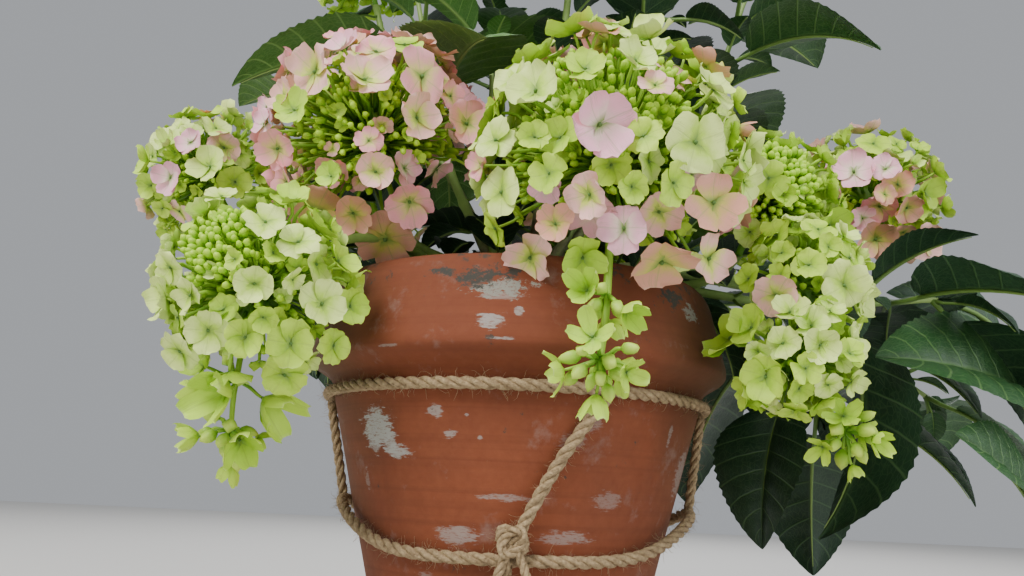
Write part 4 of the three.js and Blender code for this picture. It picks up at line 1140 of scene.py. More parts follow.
def touchesPot(points):
    (band, bandFoot), (bandTop, bandEnd) = potShape["profile"][7:9]
    lip, mouth = potShape["profile"][10][1], potShape["profile"][12][0]
    reach = np.hypot(points[:, 0], points[:, 1])
    height = points[:, 2]
    overSoil = height > soilShape["height"] + margins["mouth"]
    inMouth = (reach < (mouth * mm - margins["mouth"])) & overSoil
    above = height > lip * mm + margins["pot"]
    taper = (band - bandTop) / (bandEnd - bandFoot)
    wall = band * mm - np.maximum(0, height - bandFoot * mm) * taper
    return bool((~(above | inMouth) & (reach < wall + margins["pot"])).any())


def floretFits(points, owner, ball):
    points = np.array(points)
    powers = ((points[:, None] - ballCentres) ** 2).sum(2) - ballRadii ** 2
    own = ((points - np.array(ball["at"])) ** 2).sum(1) - ball["radius"] ** 2
    foreign = (powers <= own[:, None] + margins["foreignPower"]) & (ballOwners != owner)
    return not foreign.any() and not touchesPot(points)


def spiral(ball, count, seed, shift):  # the source's spiral of places over a ball
    axis = Vector(ball["axis"]).normalized()
    turn = facingFrame(axis, 0)
    lowest = math.cos(ball["spread"] * degree)
    places = []
    for index in range(count):
        random = randomFrom(seed + 977 * index)
        level = 1 - ((index + 0.5) / count) * (1 - lowest)
        angle = shift + index * goldenAngle + (random() - 0.5) * 0.35
        side = math.sqrt(1 - level * level)
        places.append((turn @ Vector((side * math.cos(angle), side * math.sin(angle), level)), random))
    return places


def tilted(direction, random, most):
    across = facingFrame(direction, random() * fullTurn).col[0]
    return Matrix.Rotation(random() * most, 3, across) @ direction


# Flower heads

floretShape = {
    "rows": [0.04, 0.22, 0.42, 0.61, 0.78, 0.91, 0.985],
    "columns": [-1, -0.52, 0, 0.52, 1],
    "innerRows": [0.06, 0.45, 0.8, 0.98],
    "innerColumns": [-1, 0, 1],
    "widest": 0.6,  # share of a sepal's length
    "claw": 0.16,  # half width at its foot
    "halfWidth": 0.54, "threeWider": 1.18,
    "footRoundness": 0.85, "tipRoundness": 2.3, "tip": 1.02,
    "sideCup": 0.16, "middleDip": 0.035, "roundEnd": 0.07, "unevenEnd": 0.025, "unevenSide": 0.05,
    "skew": 0.06, "notchWidth": 0.3,
    # from least to most, drawn for each sepal
    "swings": (-0.14, 0.14), "lengths": (0.82, 1.02), "pitches": (-0.5, 1), "widths": (0.92, 1.08),
    "cups": (0.7, 1.3), "notches": (0, 1.2), "rolls": (-0.14, 0.22),
    "lift": 0.035,  # every second sepal lies over its neighbours
    "eye": 0.075, "eyeHeight": 0.12, "eyeSides": 8, "eyeGroove": 0.82,
    "eyeRings": [(0.75, -0.1), (1.0, 0.35), (0.6, 0.85)],  # share of its radius and of its height
    "ragged": 0.05,
    "cup": (0.04, 0.5), "curl": (-0.16, 0.1), "wave": (0.08, 0.17), "notch": (0.02, 0.12),
    "innerCup": 0.25,  # more of it for the inner florets
}
crown = {
    "more": 5.4,  # florets here for one of the source's
    "least": 0.38, "range": 0.36,  # their size beside it
    "tailMore": 1.6, "tailSize": 1.7,
    "sink": 0.2,
    "tilt": 32 * degree,
    "spacing": 0.9,
    "sit": 0.12,  # how deep a floret stands in its ball's surface, as a share of its size
    "slack": 0.25,  # how far its pedicel bends, the same
    "placedLean": 0.34,  # of the placed florets, towards the front
    "lowLean": 0.6,  # and more of it for the low ones
    "placedSize": 0.56,  # of the width seen
    "placedTilt": 0.5,
    "placedGap": 0.6,
    "halfOpen": 0.07, "halfOpenSize": 0.75,  # share of the florets, and their size beside the rest
    "rosy": 12, "rosiest": 40,  # shares of pink and mauve from which a head's low and inner florets blush
    "lowRipening": 0.22,
    "openShapes": 14, "innerShapes": 5,
    "inner": 3.2,  # small inner florets for one of the source's
    "innerDepth": 0.6, "innerDepthRange": 0.22,
    "innerSize": 5.5 * mm, "innerSizeRange": 4 * mm,
    "innerTilt": 0.7, "innerPale": 0.35,
    "budSpacing": 9.5 * mm, "budDepth": 0.64, "budDepthRange": 0.16,
    "patchSpacing": 5 * mm, "patchDepth": 0.88, "patchDepthRange": 0.05,
    "budLength": 7 * mm, "budLengthRange": 2.6 * mm, "budTilt": 0.4,
    "budStalk": [1.0 * mm, 0.8 * mm],
    "tailBudsMore": 1.7, "tailBud": 10, "tailBudRange": 3.5, "tailBudDroop": 0.35,
    "innerCore": 0.33, "coreRings": 13, "coreSides": 22, "coreCells": 0.1, "coreLumps": 0.22,
    "pedicelRadius": 1.0 * mm, "stalkSides": 4,
    "stemRadius": 3.2 * mm, "stemEnd": 2.0 * mm,
}
closedFlorets = [  # seed, sepals, cup, curl, wave, notch, width and looseness
    (40, 4, 0.85, 0.1, 0.06, 0.02, 0.84, 0.34),  # half open
    (41, 4, 0.5, 0.25, 0.05, -0.12, 0.66, 0.2),  # opening
]
budForms = {  # sides, depth of the flutes, height of the tip, girth, and outline
    "small": (6, 0.14, 1.0, 0.6, [(0.4, 0.06), (1.0, 0.45), (0.82, 0.8)]),
    "opening": (8, 0.3, 1.08, 0.74, [(0.35, 0.06), (0.92, 0.3), (1.0, 0.55), (0.7, 0.82)]),
}
tintKinds = {  # centre and rim of a sepal
    "lime": ((0.37, 0.62, 0.02), (0.58, 0.83, 0.07)),
    "pale": ((0.50, 0.76, 0.06), (0.77, 0.93, 0.27)),
    "blush": ((0.66, 0.78, 0.10), (0.95, 0.54, 0.49)),
    "peach": ((0.66, 0.58, 0.12), (0.80, 0.39, 0.29)),
    "pink": ((0.78, 0.68, 0.22), (0.95, 0.40, 0.46)),
    "mauve": ((0.88, 0.68, 0.58), (0.95, 0.49, 0.60)),
}
budTints = {  # foot and tip
    "small": ((0.18, 0.44, 0.015, 1), (0.50, 0.78, 0.03, 1)),
    "opening": ((0.30, 0.57, 0.03, 1), (0.60, 0.80, 0.10, 1)),
    # stalks dark at the foot, deep inside a head, and light at the tip outside: painted shade
    "stalk": ((0.13, 0.34, 0.02, 1), (0.40, 0.64, 0.05, 1)),
    # dark green of the mass hidden in each head's middle: painted shade
    "core": ((0.09, 0.22, 0.02, 1), (0.20, 0.40, 0.03, 1)),
}


def sepalSurface(length, width, cup, curl, wave, notch, random, rows, columns):
    phases = [random.uniform(0, fullTurn) for _ in range(3)]
    skew = random.uniform(-floretShape["skew"], floretShape["skew"])
    widest = floretShape["widest"]
    points, maps = [], []
    for share in rows:
        if share < widest:
            fullness = math.sin(math.pi / 2 * share / widest) ** floretShape["footRoundness"]
        else:
            beyond = (share - widest) / (floretShape["tip"] - widest)
            fullness = math.sqrt(1 - beyond ** floretShape["tipRoundness"])
        half = width * (floretShape["claw"] + (1 - floretShape["claw"]) * fullness)
        for column in columns:
            ripple = math.sin(share * 8 + phases[0] + column * 1.5) * share ** 2 * abs(column) ** 1.5
            dip = notch * math.exp(-(column / floretShape["notchWidth"]) ** 2) * share ** 9
            ragged = random.uniform(-1, 1) * floretShape["ragged"] * share
            end = floretShape["unevenEnd"] * math.sin(column * 4 + phases[1]) + ragged
            edge = 1 + floretShape["unevenSide"] * math.sin(share * 9 + phases[2]) + ragged
            rounding = floretShape["roundEnd"] * column * column
            along = length * (share - dip - rounding * share ** 2 + end * share ** 4)
            across = column * half * edge + skew * share ** 2
            rise = cup * share ** 1.6 + floretShape["sideCup"] * cup * column * column + curl * share ** 4
            middleDip = floretShape["middleDip"] * (1 - abs(column)) * math.sin(math.pi * share)
            rise += wave * ripple - middleDip
            points.append(Vector((along, across, rise * length)))
            maps.append((0.03 + 0.42 * (column + 1), 0.04 + 0.92 * share))
    return points, sheetFaces(len(rows), len(columns)), maps


def eyeSurface():  # the closed bud at the middle of a floret
    radius, height, sides = floretShape["eye"], floretShape["eyeHeight"], floretShape["eyeSides"]
    rings = floretShape["eyeRings"]
    points, maps = [], []
    for reach, rise in rings:
        for side in range(sides):
            angle = fullTurn * side / sides
            groove = 1 if side % 2 else floretShape["eyeGroove"]
            points.append(roundAbout(radius * reach * groove, angle, rise * height))
            maps.append((0.94 + 0.04 * math.cos(angle) * reach, 0.5 + 0.3 * math.sin(angle) * reach))
    top = (len(rings) - 1) * sides
    faces = ringFaces(len(rings), sides)
    faces += [(top + side, top + (side + 1) % sides, top + sides) for side in range(sides)]
    return points + [Vector((0, 0, height))], faces, maps + [(0.94, 0.5)]


def floretStore(seed, sepals, cup, curl, wave, notch, width=1.0, loose=0.34, inner=False):
    random = Random(seed)
    rows = floretShape["innerRows" if inner else "rows"]
    columns = floretShape["innerColumns" if inner else "columns"]
    store = emptyStore()
    for sepal in range(sepals):
        angle, length, pitch, breadth, depth, dip = [
            random.uniform(*floretShape[kind])
            for kind in ("swings", "lengths", "pitches", "widths", "cups", "notches")]
        angle += fullTurn * sepal / sepals
        pitch *= loose
        broad = floretShape["halfWidth"] * width * breadth * (1 if sepals == 4 else floretShape["threeWider"])
        depth, dip = cup * depth, notch * dip
        points, faces, maps = sepalSurface(length, broad, depth, curl, wave, dip, random, rows, columns)
        turn = Matrix.Rotation(angle, 3, "Z") @ Matrix.Rotation(-pitch, 3, "Y")
        turn = turn @ Matrix.Rotation(random.uniform(*floretShape["rolls"]), 3, "X")
        lift = Vector((0, 0, floretShape["lift"] * (sepal % 2)))
        addPart(store, [turn @ point + lift for point in points], faces, maps)
    if not inner:
        addPart(store, *eyeSurface())
    return store


def budStore(sides, flutes, tip, girth, profile):  # a closed bud, standing on its foot, one unit high
    points, maps = [Vector((0, 0, 0))], [(0.5, 0.0)]
    for reach, rise in profile:
        for side in range(sides):
            fluted = reach * girth / 2 * (1 - flutes * (side % 2) * min(1, rise * 1.6))
            points.append(roundAbout(fluted, fullTurn * side / sides, rise))
            maps.append((side / sides, rise))
    points.append(Vector((0, 0, tip)))
    return storeOf(points, shellFaces(len(profile), sides), maps + [(0.5, 1.0)])


def makeSepalGroup():  # centre to rim, with fanned veins, from a sepal's own map
    tree, given, result = newTree("Sepal colour", "ShaderNodeTree", {
        "Centre": ("Color", None), "Rim": ("Color", None), "Vein depth": ("Float", 0.3)},
        {"Colour": "Color", "Height": "Float"})
    place, across, along = ownMap(tree)
    ripening = mathOf(tree, "MULTIPLY_ADD", cloudOf(tree, place, 5.0, 4.0), 0.5, along)
    ripe = ramped(tree, ripening, 0.4, 0.93, interpolation_type="SMOOTHSTEP")
    fans = cloudOf(tree, stretched(tree, place, (30.0, 1.7, 1.0)), 1.0, 3.0, distortion=0.5)
    aside = mathOf(tree, "ABSOLUTE", mathOf(tree, "SUBTRACT", across, 0.45))
    lines = mathOf(tree, "MAXIMUM", ramped(tree, fans, 0.57, 0.68), ramped(tree, aside, 0.022, 0.008))
    colour = layered(tree, mixColour(tree, ripe, given["Centre"], given["Rim"]), [
        (mathOf(tree, "MULTIPLY", lines, given["Vein depth"]), (0.30, 0.42, 0.12, 1)),
        (ramped(tree, along, 0.27, 0.08), (0.22, 0.36, 0.07, 1)),  # its foot
        (ramped(tree, along, 0.9, 0.95, 0.0, 0.25), (0.82, 0.80, 0.60, 1)),  # its edge
        (mathOf(tree, "GREATER_THAN", across, 0.885), (0.10, 0.20, 0.045, 1)),  # the floret's eye
    ])
    tree.links.new(colour, result["Colour"])
    tree.links.new(lines, result["Height"])
    return tree


sepalGroup = makeSepalGroup()


def makeSepalMaterial(kind):
    centre, rim = tintKinds[kind]
    material, tree, shader = newMaterial(kind + "Sepal", 0.52, 0.35)
    sepal = withGroup(tree, sepalGroup, {"Centre": (*centre, 1), "Rim": (*rim, 1), "Vein depth": 0.3})
    addLook(tree, shader, sepal["Colour"], sepal["Height"], 0.35, -0.25 * mm)
    return material


def makeBudMaterial(name, foot, tip, roughness):  # shaded from foot to tip by the piece's own map
    material, tree, shader = newMaterial(name, roughness, 0.4)
    addLook(tree, shader, mixColour(tree, ramped(tree, ownMap(tree)[2], 0.1, 0.9), foot, tip))
    return material


def tintFor(point, weights, low, random):  # neighbouring florets ripen alike
    shares = np.cumsum(weights) / sum(weights)
    ripeness = 0.5 + 0.75 * noise.noise(point * 17) + 0.55 * (random() - 0.5) + low
    return int(np.searchsorted(shares, min(max(ripeness, 0.0), 0.999)))


def bentPath(root, end, facing, slack):
    middle = (root + end) / 2 + slack
    neck = end - facing * (end - root).length * 0.22
    return smoothPath([root, middle, neck, end], 2)


def floretShapes():  # open ones, one half open, one opening, and the lighter inner ones
    mixed = Random(5)
    shapes = []
    for index in range(crown["openShapes"] + crown["innerShapes"]):
        cup, curl, wave, notch = [
            mixed.uniform(*floretShape[kind]) for kind in ("cup", "curl", "wave", "notch")]
        inner = index >= crown["openShapes"]
        cup += floretShape["innerCup"] * inner
        sepals = 3 if index % 5 == 4 else 4
        shapes.append(floretStore(11 + index, sepals, cup, curl, wave, notch, inner=inner))
    closed = [floretStore(*row) for row in closedFlorets]
    return shapes[:crown["openShapes"]] + closed + shapes[crown["openShapes"]:]


def addFloret(made, ball, kind, middle, turn, size, shape, slack=0.0):
    centre = Vector(ball["at"])
    root = centre + (middle - centre).normalized() * ball["radius"] * (0.05 if ball["buds"] else 0.3)
    made["florets"][kind].append((middle, turn, size, shape))
    radii = list(np.linspace(1.5, 1.0, 7) * crown["pedicelRadius"])
    made["stalks"].append((bentPath(root, middle, turn.col[2], turn.col[0] * slack), radii))


def placedFlorets(ball, seed, made):  # the florets whose place the photograph gives
    discs = []
    for index, (azimuth, elevation, across, kind) in enumerate(ball["placed"]):
        random = randomFrom(seed + 600 + index)
        direction = directionOf(azimuth, elevation)
        size = across * crown["placedSize"] * mm
        lean = crown["placedLean"] + crown["lowLean"] * max(0.0, -direction.z)
        facing = (direction + Vector((0, -lean, 0))).normalized()
        turn = facingFrame(tilted(facing, random, crown["placedTilt"]), random() * fullTurn)
        middle = Vector(ball["at"]) + direction * (ball["radius"] - size * crown["sit"])
        addFloret(made, ball, kind, middle, turn, size, int(random() * crown["openShapes"]))
        discs.append((middle, size))
    return discs


def spiralFlorets(head, owner, ball, seed, discs, buried, made):
    centre, radius = Vector(ball["at"]), ball["radius"]
    tail = ball["buds"] > 0
    placed = list(discs)
    budding = ball["budding"]
    patch = Vector(budding["way"]).normalized() if budding else None
    rosy = head["tints"][4] + head["tints"][5] > crown["rosy"]
    count = round(ball["florets"] * (crown["tailMore"] if tail else crown["more"]))
    for direction, random in spiral(ball, count, seed, 0):
        size = ball["size"] * (crown["least"] + crown["range"] * random())
        size *= crown["tailSize"] if tail else 1
        turn = facingFrame(tilted(direction, random, crown["tilt"]), random() * fullTurn)
        reach = math.sqrt(radius * radius - size * size) - size * crown["sit"]
        middle = centre + direction * reach * (1 - crown["sink"] * random() ** 1.6)
        bare, choice, bend = random(), random(), random()
        if budding and direction.dot(patch) > math.cos(budding["spread"] * degree) and bare < budding["bare"]:
            continue
        if any((middle - at).length < (size + other) * crown["placedGap"] for at, other in placed):
            continue
        rim = [middle + turn @ Vector((math.cos(a), math.sin(a), 0.2)) * size * 0.95
               for a in np.linspace(0, fullTurn, 8, endpoint=False)]
        if buried(middle) or not floretFits([middle] + rim, owner, ball):
            continue
        low = crown["lowRipening"] * max(0.0, -direction.z) if rosy else 0.0
        kind = "lime" if tail else list(tintKinds)[tintFor(middle, head["tints"], low, random)]
        shape = int(choice * crown["openShapes"])
        if tail:
            shape = crown["openShapes"] + (choice < 0.5)
        elif choice < crown["halfOpen"]:
            shape = crown["openShapes"]
            size *= crown["halfOpenSize"]
        discs.append((middle, size))
        slack = size * crown["slack"] * (bend - 0.5)
        addFloret(made, ball, kind, middle, turn, size, shape, slack)


def innerFlorets(head, owner, ball, seed, buried, made):  # small ones that fill the head
    rosy = head["tints"][4] + head["tints"][5] > crown["rosiest"]
    for direction, random in spiral(ball, round(ball["florets"] * crown["inner"]), seed + 30, 1.7):
        depth = crown["innerDepth"] + crown["innerDepthRange"] * random()
        size = crown["innerSize"] + crown["innerSizeRange"] * random()
        middle = Vector(ball["at"]) + direction * ball["radius"] * depth
        turn = facingFrame(tilted(direction, random, crown["innerTilt"]), random() * fullTurn)
        shape = crown["openShapes"] + 2 + int(random() * crown["innerShapes"])
        kind = ("blush" if rosy else "pale") if random() < crown["innerPale"] else "lime"
        if not buried(middle) and floretFits([middle], owner, ball):
            addFloret(made, ball, kind, middle, turn, size, shape)


def packedBuds(ball, owner, seed, hidden, made):  # a loose layer all round, and a close patch
    centre, radius = Vector(ball["at"]), ball["radius"]
    layers = [(ball, crown["budSpacing"], crown["budDepth"], crown["budDepthRange"])]
    if ball["budding"]:
        patch = {**ball, "axis": ball["budding"]["way"], "spread": ball["budding"]["spread"]}
        spacing = crown["patchSpacing"] * ball["budding"].get("looser", 1)
        layers.append((patch, spacing, crown["patchDepth"], crown["patchDepthRange"]))
    for layer, (area, spacing, depth, depthRange) in enumerate(layers):
        cap = fullTurn * (radius * depth) ** 2 * (1 - math.cos(area["spread"] * degree))
        for direction, random in spiral(area, round(cap / spacing ** 2), seed + 25 + layer, 2):
            size = crown["budLength"] + crown["budLengthRange"] * random()
            foot = centre + direction * (radius * (depth + depthRange * random()) - size)
            turn = facingFrame(tilted(direction, random, crown["budTilt"]), random() * fullTurn)
            tip = foot + turn.col[2] * size
            if hidden(tip) or not floretFits([tip], owner, ball):
                continue
            made["smallBuds"].append((foot, turn, size, 0))
            root = centre + direction * radius * 0.3
            made["stalks"].append(([root, foot + turn.col[2] * size * 0.1], crown["budStalk"]))


def tailBuds(ball, owner, seed, made):  # the large buds that hang at a tail's end
    centre = Vector(ball["at"])
    droop = Vector((0, 0, -crown["tailBudDroop"]))
    for direction, random in spiral(ball, round(ball["buds"] * crown["tailBudsMore"]), seed + 50, 1):
        size = (crown["tailBud"] + crown["tailBudRange"] * random()) * mm
        turn = facingFrame((direction + droop).normalized(), random() * fullTurn)
        foot = centre + direction * (ball["radius"] - size * (0.9 + 0.9 * random()))
        if floretFits([foot, foot + turn.col[2] * size], owner, ball):
            made["openingBuds"].append((foot, turn, size, 1))
            radii = list(np.linspace(1.6, 1.15, 7) * crown["pedicelRadius"])
            made["stalks"].append((bentPath(centre, foot, turn.col[2], Vector((0, 0, 0))), radii))


def covered(point, discs):  # whether a floret is in the way
    return any((point - middle).length < size * 0.8 for middle, size in discs)


def addCore(cores, centre, radius, seed):  # the packed, lumpy middle of a head
    arc = [(math.sin(a), -math.cos(a)) for a in np.linspace(0.2, 2.94, crown["coreRings"])]
    points, faces = turnedShell([(0, -1), *arc, (0, 1)], crown["coreSides"])
    shift = Vector((seed * 0.37, 0, 0))
    lumpy, maps = [], []
    for point in points:
        lump = noise.cell(point * 4.2 + shift) * crown["coreCells"]
        lump += noise.noise(point * 6 + shift) * crown["coreLumps"]
        lumpy.append(centre + point * radius * (0.95 + lump))
        maps.append((0.5 + 0.16 * math.atan2(point.y, point.x), 0.5 + 0.5 * point.z))
    addPart(cores, lumpy, faces, maps)


def fillHead(owner, head, made):
    stops = [head["tip"] + head["axis"] * clearance] + [Vector(ball["at"]) for ball in head["balls"]]
    path = smoothPath(stops, 5)
    made["stalks"].append((path, list(np.linspace(crown["stemRadius"], crown["stemEnd"], len(path)))))
    for index, ball in enumerate(head["balls"]):
        seed = 1000 * (owner + 1) + 100 * index
        others = [other for other in head["balls"] if other is not ball]

        def buried(point, others=others):
            return any((point - Vector(o["at"])).length < o["radius"] * crown["spacing"] for o in others)

        discs = placedFlorets(ball, seed, made)
        spiralFlorets(head, owner, ball, seed, discs, buried, made)
        if ball["buds"]:
            tailBuds(ball, owner, seed, made)
            continue
        addCore(made["cores"], Vector(ball["at"]), ball["radius"] * crown["innerCore"], seed)
        innerFlorets(head, owner, ball, seed, buried, made)
        packedBuds(ball, owner, seed, lambda tip: buried(tip) or covered(tip, discs), made)


def tubeStore(paths, sides):
    store = emptyStore()
    for path, radii in paths:
        addPart(store, *sweep(path, radii, sides))
    return store


def makeHeads():
    made = {"florets": {kind: [] for kind in tintKinds},
            "smallBuds": [], "openingBuds": [], "stalks": [], "cores": emptyStore()}
    for owner, head in enumerate(heads):
        fillHead(owner, head, made)
    names = [f"flowers.{head['name']}" for head in heads]
    paints = {name: makeBudMaterial(name + "Bud", *tints, 0.5) for name, tints in budTints.items()}
    sepals = {kind: makeSepalMaterial(kind) for kind in tintKinds}
    shapes = hiddenShapes("floretShape", floretShapes(), sepals["lime"])
    for kind, paint in sepals.items():
        places = made["florets"][kind]
        placeShapes(f"flowers.{kind}Florets", places, shapes, paint, "blossom", *names)
        print(kind, len(places), "florets")
    forms = [budStore(*form) for form in budForms.values()]
    budShapes = hiddenShapes("budShape", forms, paints["small"])
    for kind in budForms:
        places = made[kind + "Buds"]
        placeShapes(f"flowers.{kind}Buds", places, budShapes, paints[kind], "blossom", *names)
        print(len(places), kind, "buds")
    # the stalks, darker at their feet inside the heads as painted shade
    stalks = tubeStore(made["stalks"], crown["stalkSides"])
    finishStore("flowers.stalks", stalks, paints["stalk"], "green_stem", *names)
    # the heads' middles, a dark mass of painted shade
    finishStore("flowers.cores", made["cores"], paints["core"], "blossom", *names)


makeHeads()


# Leafy shoots

leaf = {
    "petiole": 26 * mm, "petioleRadius": 2.0 * mm, "halfWidth": 0.33, "fold": 0.3, "thickness": 2.4 * mm,
    "bend": 48 * degree, "stations": [0.2, 0.52, 0.82], "baseShift": 0.78, "roundness": 0.85,
    "shortest": 0.92, "lengthRange": 0.16, "leastBend": 0.7, "bendRange": 0.6,
    "spacing": 16 * mm, "lowest": 58 * mm,
    "tries": 8, "shrink": 0.07, "swing": (10 * degree, 14 * degree), "pitch": (8 * degree, 16 * degree),
    "teeth": 19,  # on each side
    "toothDepth": 0.035, "toothReach": 0.012, "notchShare": 0.4,
    "foot": 0.012, "extent": 0.985,  # where a blade's rows start and how far they go, in its length
    "footWidth": 0.012,
    "arch": 0.09, "midrib": 0.006,
    "pairs": 8,  # side veins
    "veinSweep": 1.15,
    "quilting": 0.011,
    "waviness": 0.025,
    "ribSteps": 12, "ribSink": 0.6 * mm, "stalkSides": 7,
    "tips": [(0.034, 0.35), (0.03, 0.45), (0.02, 0.2), (0.018, 0.3)],  # length and lean
    "columns": [-1, -0.93, -0.62, -0.3, -0.05, 0, 0.05, 0.3, 0.62, 0.93, 1],
}
seeds = {
    "leaves": 50000, "droopingLeaves": 60000, "caneLeaves": 70000, "innerLeaves": 75000,
    "twigs": 80000, "tips": 90000,
}
twigs = {
    "caneShares": [0.35, 0.5, 0.65, 0.8, 0.95],
    "tries": 5,
    "leastBlade": 50 * mm, "bladeRange": 50 * mm,
    "innerShares": [0.2, 0.28, 0.36, 0.46, 0.56, 0.66],
    "innerBlade": 34 * mm, "innerRange": 26 * mm,
    "petiole": 15 * mm, "petioleRadius": 1.2 * mm,
    "spacing": 10 * mm,
    "bladeShare": 0.36,  # of the leaf in whose axil a twig stands
    "stemLength": 3 * mm,
    "teeth": 10, "shrink": 0.06, "tilt": 0.3,
    "stations": [0.15, 0.4, 0.65, 0.98],
    "headShare": 0.97,  # of a flower ball's radius, in which no leaf stands
}
droopingTwig = {  # beyond the right-hand shoot; its leaves turn their faces to the front
    "stops": [(0.322, 0.02, 0.283), (0.366, 0.032, 0.272), (0.402, 0.044, 0.236),
              (0.406, 0.042, 0.18), (0.398, 0.034, 0.142)],
    "radius": 2.2 * mm, "endRadius": 1.3 * mm,
    "facing": (-0.12, -0.76, 0.62),
    "bend": 26 * degree,
    "spacing": 4 * mm,
    "lengthShares": [1, 0.93, 0.86, 0.8, 0.74, 0.68],  # tried in turn
    "leaves": [  # station on the twig, foot, tip and tint
        (12, (0.394, 0.026, 0.214), (0.256, -0.022, 0.229), "mid"),
        (5, (0.395, 0.062, 0.268), (0.302, 0.062, 0.297), "dark"),
        (20, (0.384, 0.018, 0.13), (0.306, -0.03, 0.176), "mid"),
    ],
}
leafTints = {  # blade and vein; one leaf green, darker for leaves in shade and lighter for lit ones: painted shade and painted light
    "dark": ((0.016, 0.052, 0.022, 1), (0.060, 0.130, 0.048, 1)),
    "mid": ((0.028, 0.095, 0.026, 1), (0.095, 0.200, 0.060, 1)),
    "bright": ((0.075, 0.200, 0.036, 1), (0.190, 0.360, 0.090, 1)),
}


def nearPoint(points, others, gap):
    return len(others) and np.linalg.norm(points[:, None] - others, axis=2).min() < gap


def leafTurn(outward, upward=Vector((0, 0, 1))):  # columns: along the leaf, across it, out of its face
    side = upward.cross(outward).normalized()
    return Matrix((outward, side, outward.cross(side))).transposed()


def leafPlace(base, turn, length, bend, share, side, lift):
    angle = bend * share
    rise = abs(side) * leaf["fold"] + lift
    out = (length / bend + rise) * math.sin(angle)
    up = -length * (1 - math.cos(angle)) / bend + rise * math.cos(angle)
    return base + turn @ Vector((out, side, up))


def leafWidth(share):
    return leaf["halfWidth"] * math.sin(math.pi * share ** leaf["baseShift"]) ** leaf["roundness"]


def leafSamples(node, base, turn, length, bend):  # the source's test points over a leaf's blade
    rings = []
    for share in leaf["stations"]:
        width = length * leafWidth(share)
        half = leaf["thickness"] / 2
        rings.append([leafPlace(base, turn, length, bend, share, side, lift)
                      for side, lift in ((width, 0), (0, half), (-width, 0))])
    rings.append([leafPlace(base, turn, length, bend, 1, 0, 0)] * 3)
    samples = []
    for before, after in zip(rings, rings[1:]):
        for step in range(3):
            left, middle, right = [before[i].lerp(after[i], step / 3) for i in range(3)]
            samples.append(middle)
            for across in (0.34, 0.67, 1):
                samples.extend([middle.lerp(left, across), middle.lerp(right, across)])
    neck = base + turn.col[1] * leaf["petioleRadius"]
    return samples + [rings[-1][0], node.lerp(neck, 0.5), node.lerp(neck, 0.8)]


def isFree(points, paths, radii, taken, spacing):  # whether a leaf at these points touches nothing
    if points[:, 2].min() <= leaf["lowest"] or touchesPot(points) or nearPaths(points, paths):
        return False
    reach = np.linalg.norm(points[:, None] - ballCentres, axis=2)
    return not (reach < radii).any() and not nearPoint(points, taken, spacing)


def leafFits(samples, owner, taken):
    paths = canePaths + [path for index, path in enumerate(stemPaths) if index != owner]
    return isFree(np.array(samples), paths, ballRadii + margins["head"], taken, leaf["spacing"])


def findLeaves():
    found, taken = [], np.empty((0, 3))
    for owner, shoot in enumerate(shoots):
        axis = shoot["way"]
        start = Vector(stemPaths[owner][0])
        for pair in range(shoot["pairs"]):
            node = start + axis * shootStem["gap"] * (pair + shootStem["firstNode"])
            rise = shootStem["leastRise"] + shootStem["moreRise"] * pair / shoot["pairs"]
            length = shoot["blade"] * (1 - shootStem["taper"] * pair / shoot["pairs"])
            for half in (0, 1):
                around = shoot["turn"] * degree + pair * math.pi / 2 + half * math.pi
                random = randomFrom(seeds["leaves"] + 1000 * owner + 10 * pair + half)
                for attempt in range(leaf["tries"]):
                    swing = (random() - 0.5) * (leaf["swing"][0] + leaf["swing"][1] * attempt)
                    pitch = rise + (random() - 0.5) * (leaf["pitch"][0] + leaf["pitch"][1] * attempt)
                    across = facingFrame(axis, around + swing).col[0]
                    outward = across * math.cos(pitch) + axis * math.sin(pitch)
                    turn = leafTurn(outward)
                    blade = length * (1 - leaf["shrink"] * attempt)
                    blade *= leaf["shortest"] + leaf["lengthRange"] * random()
                    bend = leaf["bend"] * (leaf["leastBend"] + leaf["bendRange"] * random())
                    base = node + outward * leaf["petiole"]
                    samples = leafSamples(node, base, turn, blade, bend)
                    if leafFits(samples, owner, taken):
                        taken = np.vstack([taken, np.array(samples)])
                        found.append((owner, node, base, turn, blade, bend, random))
                        break
    return found, taken


def bladeSurface(base, turn, length, bend, random, teeth=leaf["teeth"]):  # toothed, quilted and waved
    phase = random() * fullTurn
    rows = teeth * 2 + 3
    points, maps = [], []
    columns = leaf["columns"]
    for row in range(rows):
        share = leaf["foot"] + leaf["extent"] * row / (rows - 1)
        tipOrNotch = 1 if row % 2 else -leaf["notchShare"]
        tooth = leaf["toothDepth"] * tipOrNotch * math.sin(math.pi * share) ** 0.4
        half = leafWidth(min(share, 0.999)) + leaf["footWidth"] * (1 - share)
        for column in columns:
            reach = half * length * column
            forward = 0.0
            if abs(column) == 1:
                reach *= 1 + tooth
                forward = leaf["toothReach"] * (row % 2)
            ridge = math.cos(fullTurn * (share * leaf["pairs"] - abs(column) * leaf["veinSweep"]))
            quilt = ridge * leaf["quilting"]
            quilt *= (1 - abs(column) ** 3) * min(1, abs(column) * 6) * math.sin(math.pi * share)
            wave = leaf["waviness"] * math.sin(share * 9 + phase + math.copysign(1.2, column)) * column ** 2
            arch = leaf["arch"] * half * math.sin(math.pi * min(1, abs(column)))
            lift = length * (arch - quilt + wave * half * 2 - leaf["midrib"] * (column == 0))
            points.append(leafPlace(base, turn, length, bend, share + forward * (1 - share), reach, lift))
            maps.append((0.5 + 0.48 * column, 0.01 + 0.98 * share))
    return points, sheetFaces(rows, len(columns)), maps


